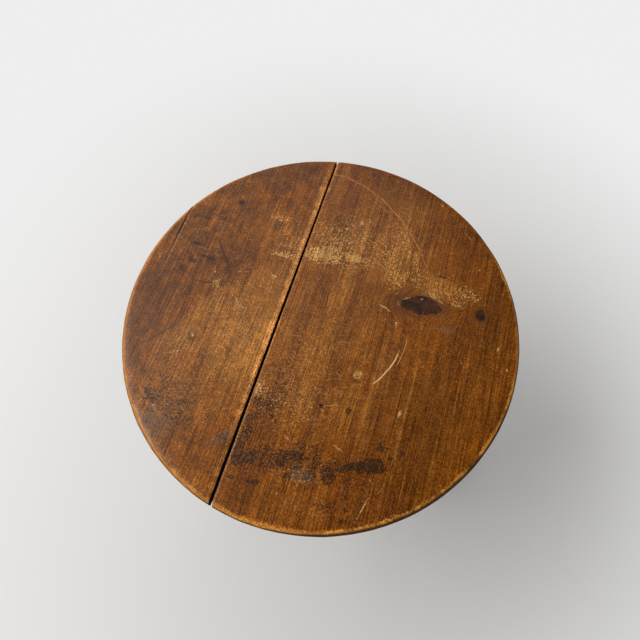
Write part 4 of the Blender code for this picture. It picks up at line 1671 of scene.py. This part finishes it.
# %% [markdown]
# ## Waxed pine of the frame
#
# The frame carries the same stain as the top, darker because no cloth ever rubs it. Edges
# are worn to orange wood, shoes have scuffed the legs along the grain and polished the
# stretchers, mops have greyed the feet, and wax has gone black in the corners of the joints.
# One material for all timbers would do if their grain ran one way. As it doesn't, one recipe
# makes a material for each, turned along it and moved to wood of its own.

# %% Where the timbers are worn
STRETCHER_HALF = STRETCHER_HIGH[0]
RAIL_RUBBED = 0.25  # how rubbed a rail is all over


def leg_wear(tree, spot, noise):
    """How dirty the foot and the joints of a leg are, and how rubbed it is, by height."""
    height = calc(tree, "MULTIPLY_ADD", noise, 0.05, spot["Y"])
    foot = ramp(tree, height, 0.025, 0.085, 0.9, 0.0)
    off = calc(tree, "ABSOLUTE", calc(tree, "SUBTRACT", height, FRAME_LOW + 0.055))
    corner = ramp(tree, off, 0.040, 0.075, 0.55, 0.0)
    return foot, corner, ramp(tree, height, 0.10, 0.34, 0.42, 0.12)


def along_rail(tree, spot, noise, shake):
    """How far a point lies from the middle of a rail, in a ragged way."""
    return calc(tree, "MULTIPLY_ADD", noise, shake, calc(tree, "ABSOLUTE", spot["Y"]))


def grimy_ends(tree, off, start, full):
    return ramp(tree, off, start * STRETCHER_HALF, full * STRETCHER_HALF, 0.0, 0.7)


def rail_wear(tree, spot, noise):
    """Grime gathers at the ends of a rail, against the legs."""
    off = along_rail(tree, spot, noise, 0.05)
    return None, grimy_ends(tree, off, 0.55, 0.80), RAIL_RUBBED


def stretcher_wear(tree, spot, noise):
    """The top of a stretcher is worn bare in the middle, where shoes rest."""
    off = along_rail(tree, spot, noise, 0.16)
    middle = ramp(tree, off, 0.35 * STRETCHER_HALF, 0.80 * STRETCHER_HALF, 1.0, 0.0)
    depth = calc(tree, "MULTIPLY_ADD", noise, 0.012, spot["Z"])
    upper = ramp(tree, depth, TREAD_Z - 0.008, TREAD_Z + 0.002, 0.0, 1.0)
    corner = grimy_ends(tree, off, 0.92, 1.06)
    trodden = calc(tree, "MULTIPLY", middle, upper)
    return None, corner, calc(tree, "MULTIPLY_ADD", trodden, 0.75, RAIL_RUBBED)


print("stretchers reach", round(STRETCHER_HALF, 3), "m from their middle")

# %% Waxed pine
FRAME_DEEP = (0.062, 0.0175, 0.0030)
FRAME_WARM = (0.165, 0.0520, 0.0085)
FRAME_WORN = (0.400, 0.1700, 0.0450)
FRAME_GRIME = (0.026, 0.0110, 0.0045)
FOOT_GREY = (0.120, 0.0850, 0.0560)
FRAME_SPECULAR = 0.3
WOOD_STEP = Vector((0.31, 0.83, 0.47))  # from one timber's wood to the next one's


def waxed_timber(name, turn, number, section, place_wear):
    """Waxed pine along a timber. turn brings it to X outwards and Y along its length."""
    material, tree, shader = new_material(name)
    at = add_node(tree, "TexCoord").outputs["Object"]
    local = add_node(tree, "Mapping", {"Vector": at, "Rotation": turn}).outputs[0]
    spot = add_node(tree, "SeparateXYZ", {0: local}).outputs
    inside, edges = section(tree, spot)
    inputs = {0: inside, 1: WOOD_STEP * number}
    moved = add_node(tree, "VectorMath", inputs, operation="ADD").outputs[0]
    grain = use_group(tree, PINE_GRAIN, {"Vector": moved})
    ragged = speckle(tree, moved, 60.0, 5.0, 0.62)
    fine = speckle(tree, moved, 320.0, 3.0, 0.65)
    shaken = calc(tree, "SUBTRACT", ragged, NOISE_MIDDLE)
    dirt, corner, rubbed = place_wear(tree, spot, shaken)

    tone = grain_tone(tree, grain, 0.50, 0.40, 0.10)
    colour = blend(tree, ramp(tree, tone, 0.15, 0.85), FRAME_DEEP, FRAME_WARM)
    colour = cover(tree, colour, grain["Threads"], 0.3, FRAME_WORN)
    bare = ramp(tree, calc(tree, "MULTIPLY_ADD", shaken, 2.4, edges), 0.18, 0.95)
    scuffs = speckle(tree, stretch(tree, moved, (120.0, 30.0, 120.0)), 1.0, 4.0, 0.65, 0.6)
    scuffs = calc(tree, "MULTIPLY_ADD", rubbed, 0.40, scuffs)
    bare = calc(tree, "MAXIMUM", bare, ramp(tree, scuffs, 0.62, 0.92))
    colour = cover(tree, colour, bare, 0.85, FRAME_WORN)
    colour = cover(tree, colour, corner, 0.8, FRAME_GRIME)
    if dirt is not None:
        colour = cover(tree, colour, dirt, 0.6, FOOT_GREY)
    patches = ramp(tree, ragged, 0.36, 0.64, 0.45, 0.0)
    colour = blend(tree, patches, colour, FRAME_DEEP)
    plug(tree, shader["Base Color"], shade_grain(tree, grain, fine, colour))

    shader["Specular IOR Level"].default_value = FRAME_SPECULAR
    rough = calc(tree, "MULTIPLY_ADD", bare, 0.12, 0.40)
    plug(tree, shader["Roughness"], calc(tree, "MULTIPLY_ADD", grain["Fibres"], 0.12, rough))
    height = calc(tree, "MULTIPLY_ADD", ragged, 0.6, grain["Fibres"])
    relief(tree, shader, height, 0.35, 0.0006)
    return material


# %% Dressing the timbers
FACING_IN = -0.6


def leg_turn(angle):
    """Turns a leg's outward direction to X and its height to Y."""
    tip = Matrix.Rotation(math.radians(-90), 3, "X")
    return (tip @ Matrix.Rotation(math.radians(-angle), 3, "Z")).to_euler()


def rail_turn(turn):
    return (0, 0, math.radians(90 - turn))


number = 0
for pieces, turning, section, place_wear in (
    (legs, leg_turn, leg_section, leg_wear),
    (stretchers, rail_turn, stretcher_section, stretcher_wear),
    (frieze_rails, rail_turn, frieze_section, rail_wear),
):
    for turn, piece in pieces.items():
        number += 1
        name = "waxed_pine_" + piece.name
        finish = waxed_timber(name, turning(turn), number, section, place_wear)
        piece.data.materials.clear()
        piece.data.materials.append(finish)
        print(name, "has", len(finish.node_tree.nodes), "nodes")

for turn, rail in frieze_rails.items():
    name = "raw_" + rail.name
    raw_wood = plain_wood(name, RAW_DARK, RAW_LIGHT, RAW_SPECULAR, rail_turn(turn))
    rail.data.materials.append(raw_wood)
    for face in rail.data.polygons:
        face.material_index = int(face.normal.dot(outward(turn - 90)) < FACING_IN)
print("the inner faces of", len(frieze_rails), "frieze rails are raw")

# %% [markdown]
# ## Pegs and screws
#
# Each tenon is locked by riven oak pegs, eight-sided and driven in. Their ends show end
# grain, darker in its pores and polished by wear. The boards are held by hand-filed screws,
# grey with a bloom of rust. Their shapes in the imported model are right, so these pieces keep
# them, and only get materials.

# %% Oak pegs
OAK_DARK = (0.060, 0.0270, 0.0100)
OAK_LIGHT = (0.230, 0.1200, 0.0480)


def oak_end_grain():
    material, tree, shader = new_material("oak_end_grain")
    at = add_node(tree, "TexCoord").outputs["Object"]
    cloud = speckle(tree, at, 420.0, 3.0, 0.6)
    inputs = {"Vector": at, "Scale": 1500.0}
    pores = add_node(tree, "TexVoronoi", inputs, feature="F1").outputs["Distance"]
    open_pores = ramp(tree, pores, 0.10, 0.30, 0.55, 1.0)
    tone = calc(tree, "MULTIPLY", ramp(tree, cloud, 0.32, 0.68), open_pores)
    plug(tree, shader["Base Color"], blend(tree, tone, OAK_DARK, OAK_LIGHT))
    plug(tree, shader["Roughness"], ramp(tree, cloud, 0.30, 0.70, 0.42, 0.62))
    relief(tree, shader, pores, 0.25, 0.0003)
    return material


oak = oak_end_grain()
pegs = [node for name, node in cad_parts.items() if "_peg_" in name]
for peg in pegs:
    peg.material_slots[0].material = oak
print("oak pegs:", len(pegs))

# %% Iron screws
IRON_GREY = (0.120, 0.1120, 0.1050)
RUST = (0.160, 0.0520, 0.0160)


def rusted_iron():
    material, tree, shader = new_material("rusted_iron")
    at = add_node(tree, "TexCoord").outputs["Object"]
    bloom = ramp(tree, speckle(tree, at, 520.0, 4.0, 0.65), 0.42, 0.60)
    plug(tree, shader["Base Color"], blend(tree, bloom, IRON_GREY, RUST))
    dull = calc(tree, "MULTIPLY", bloom, 0.8)
    plug(tree, shader["Metallic"], calc(tree, "SUBTRACT", 0.9, dull))
    plug(tree, shader["Roughness"], ramp(tree, bloom, 0.0, 1.0, 0.45, 0.85))
    return material


iron = rusted_iron()
screws = [node for name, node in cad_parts.items() if name.startswith("top_screw")]
for screw in screws:
    screw.material_slots[0].material = iron
print("iron screws:", len(screws))
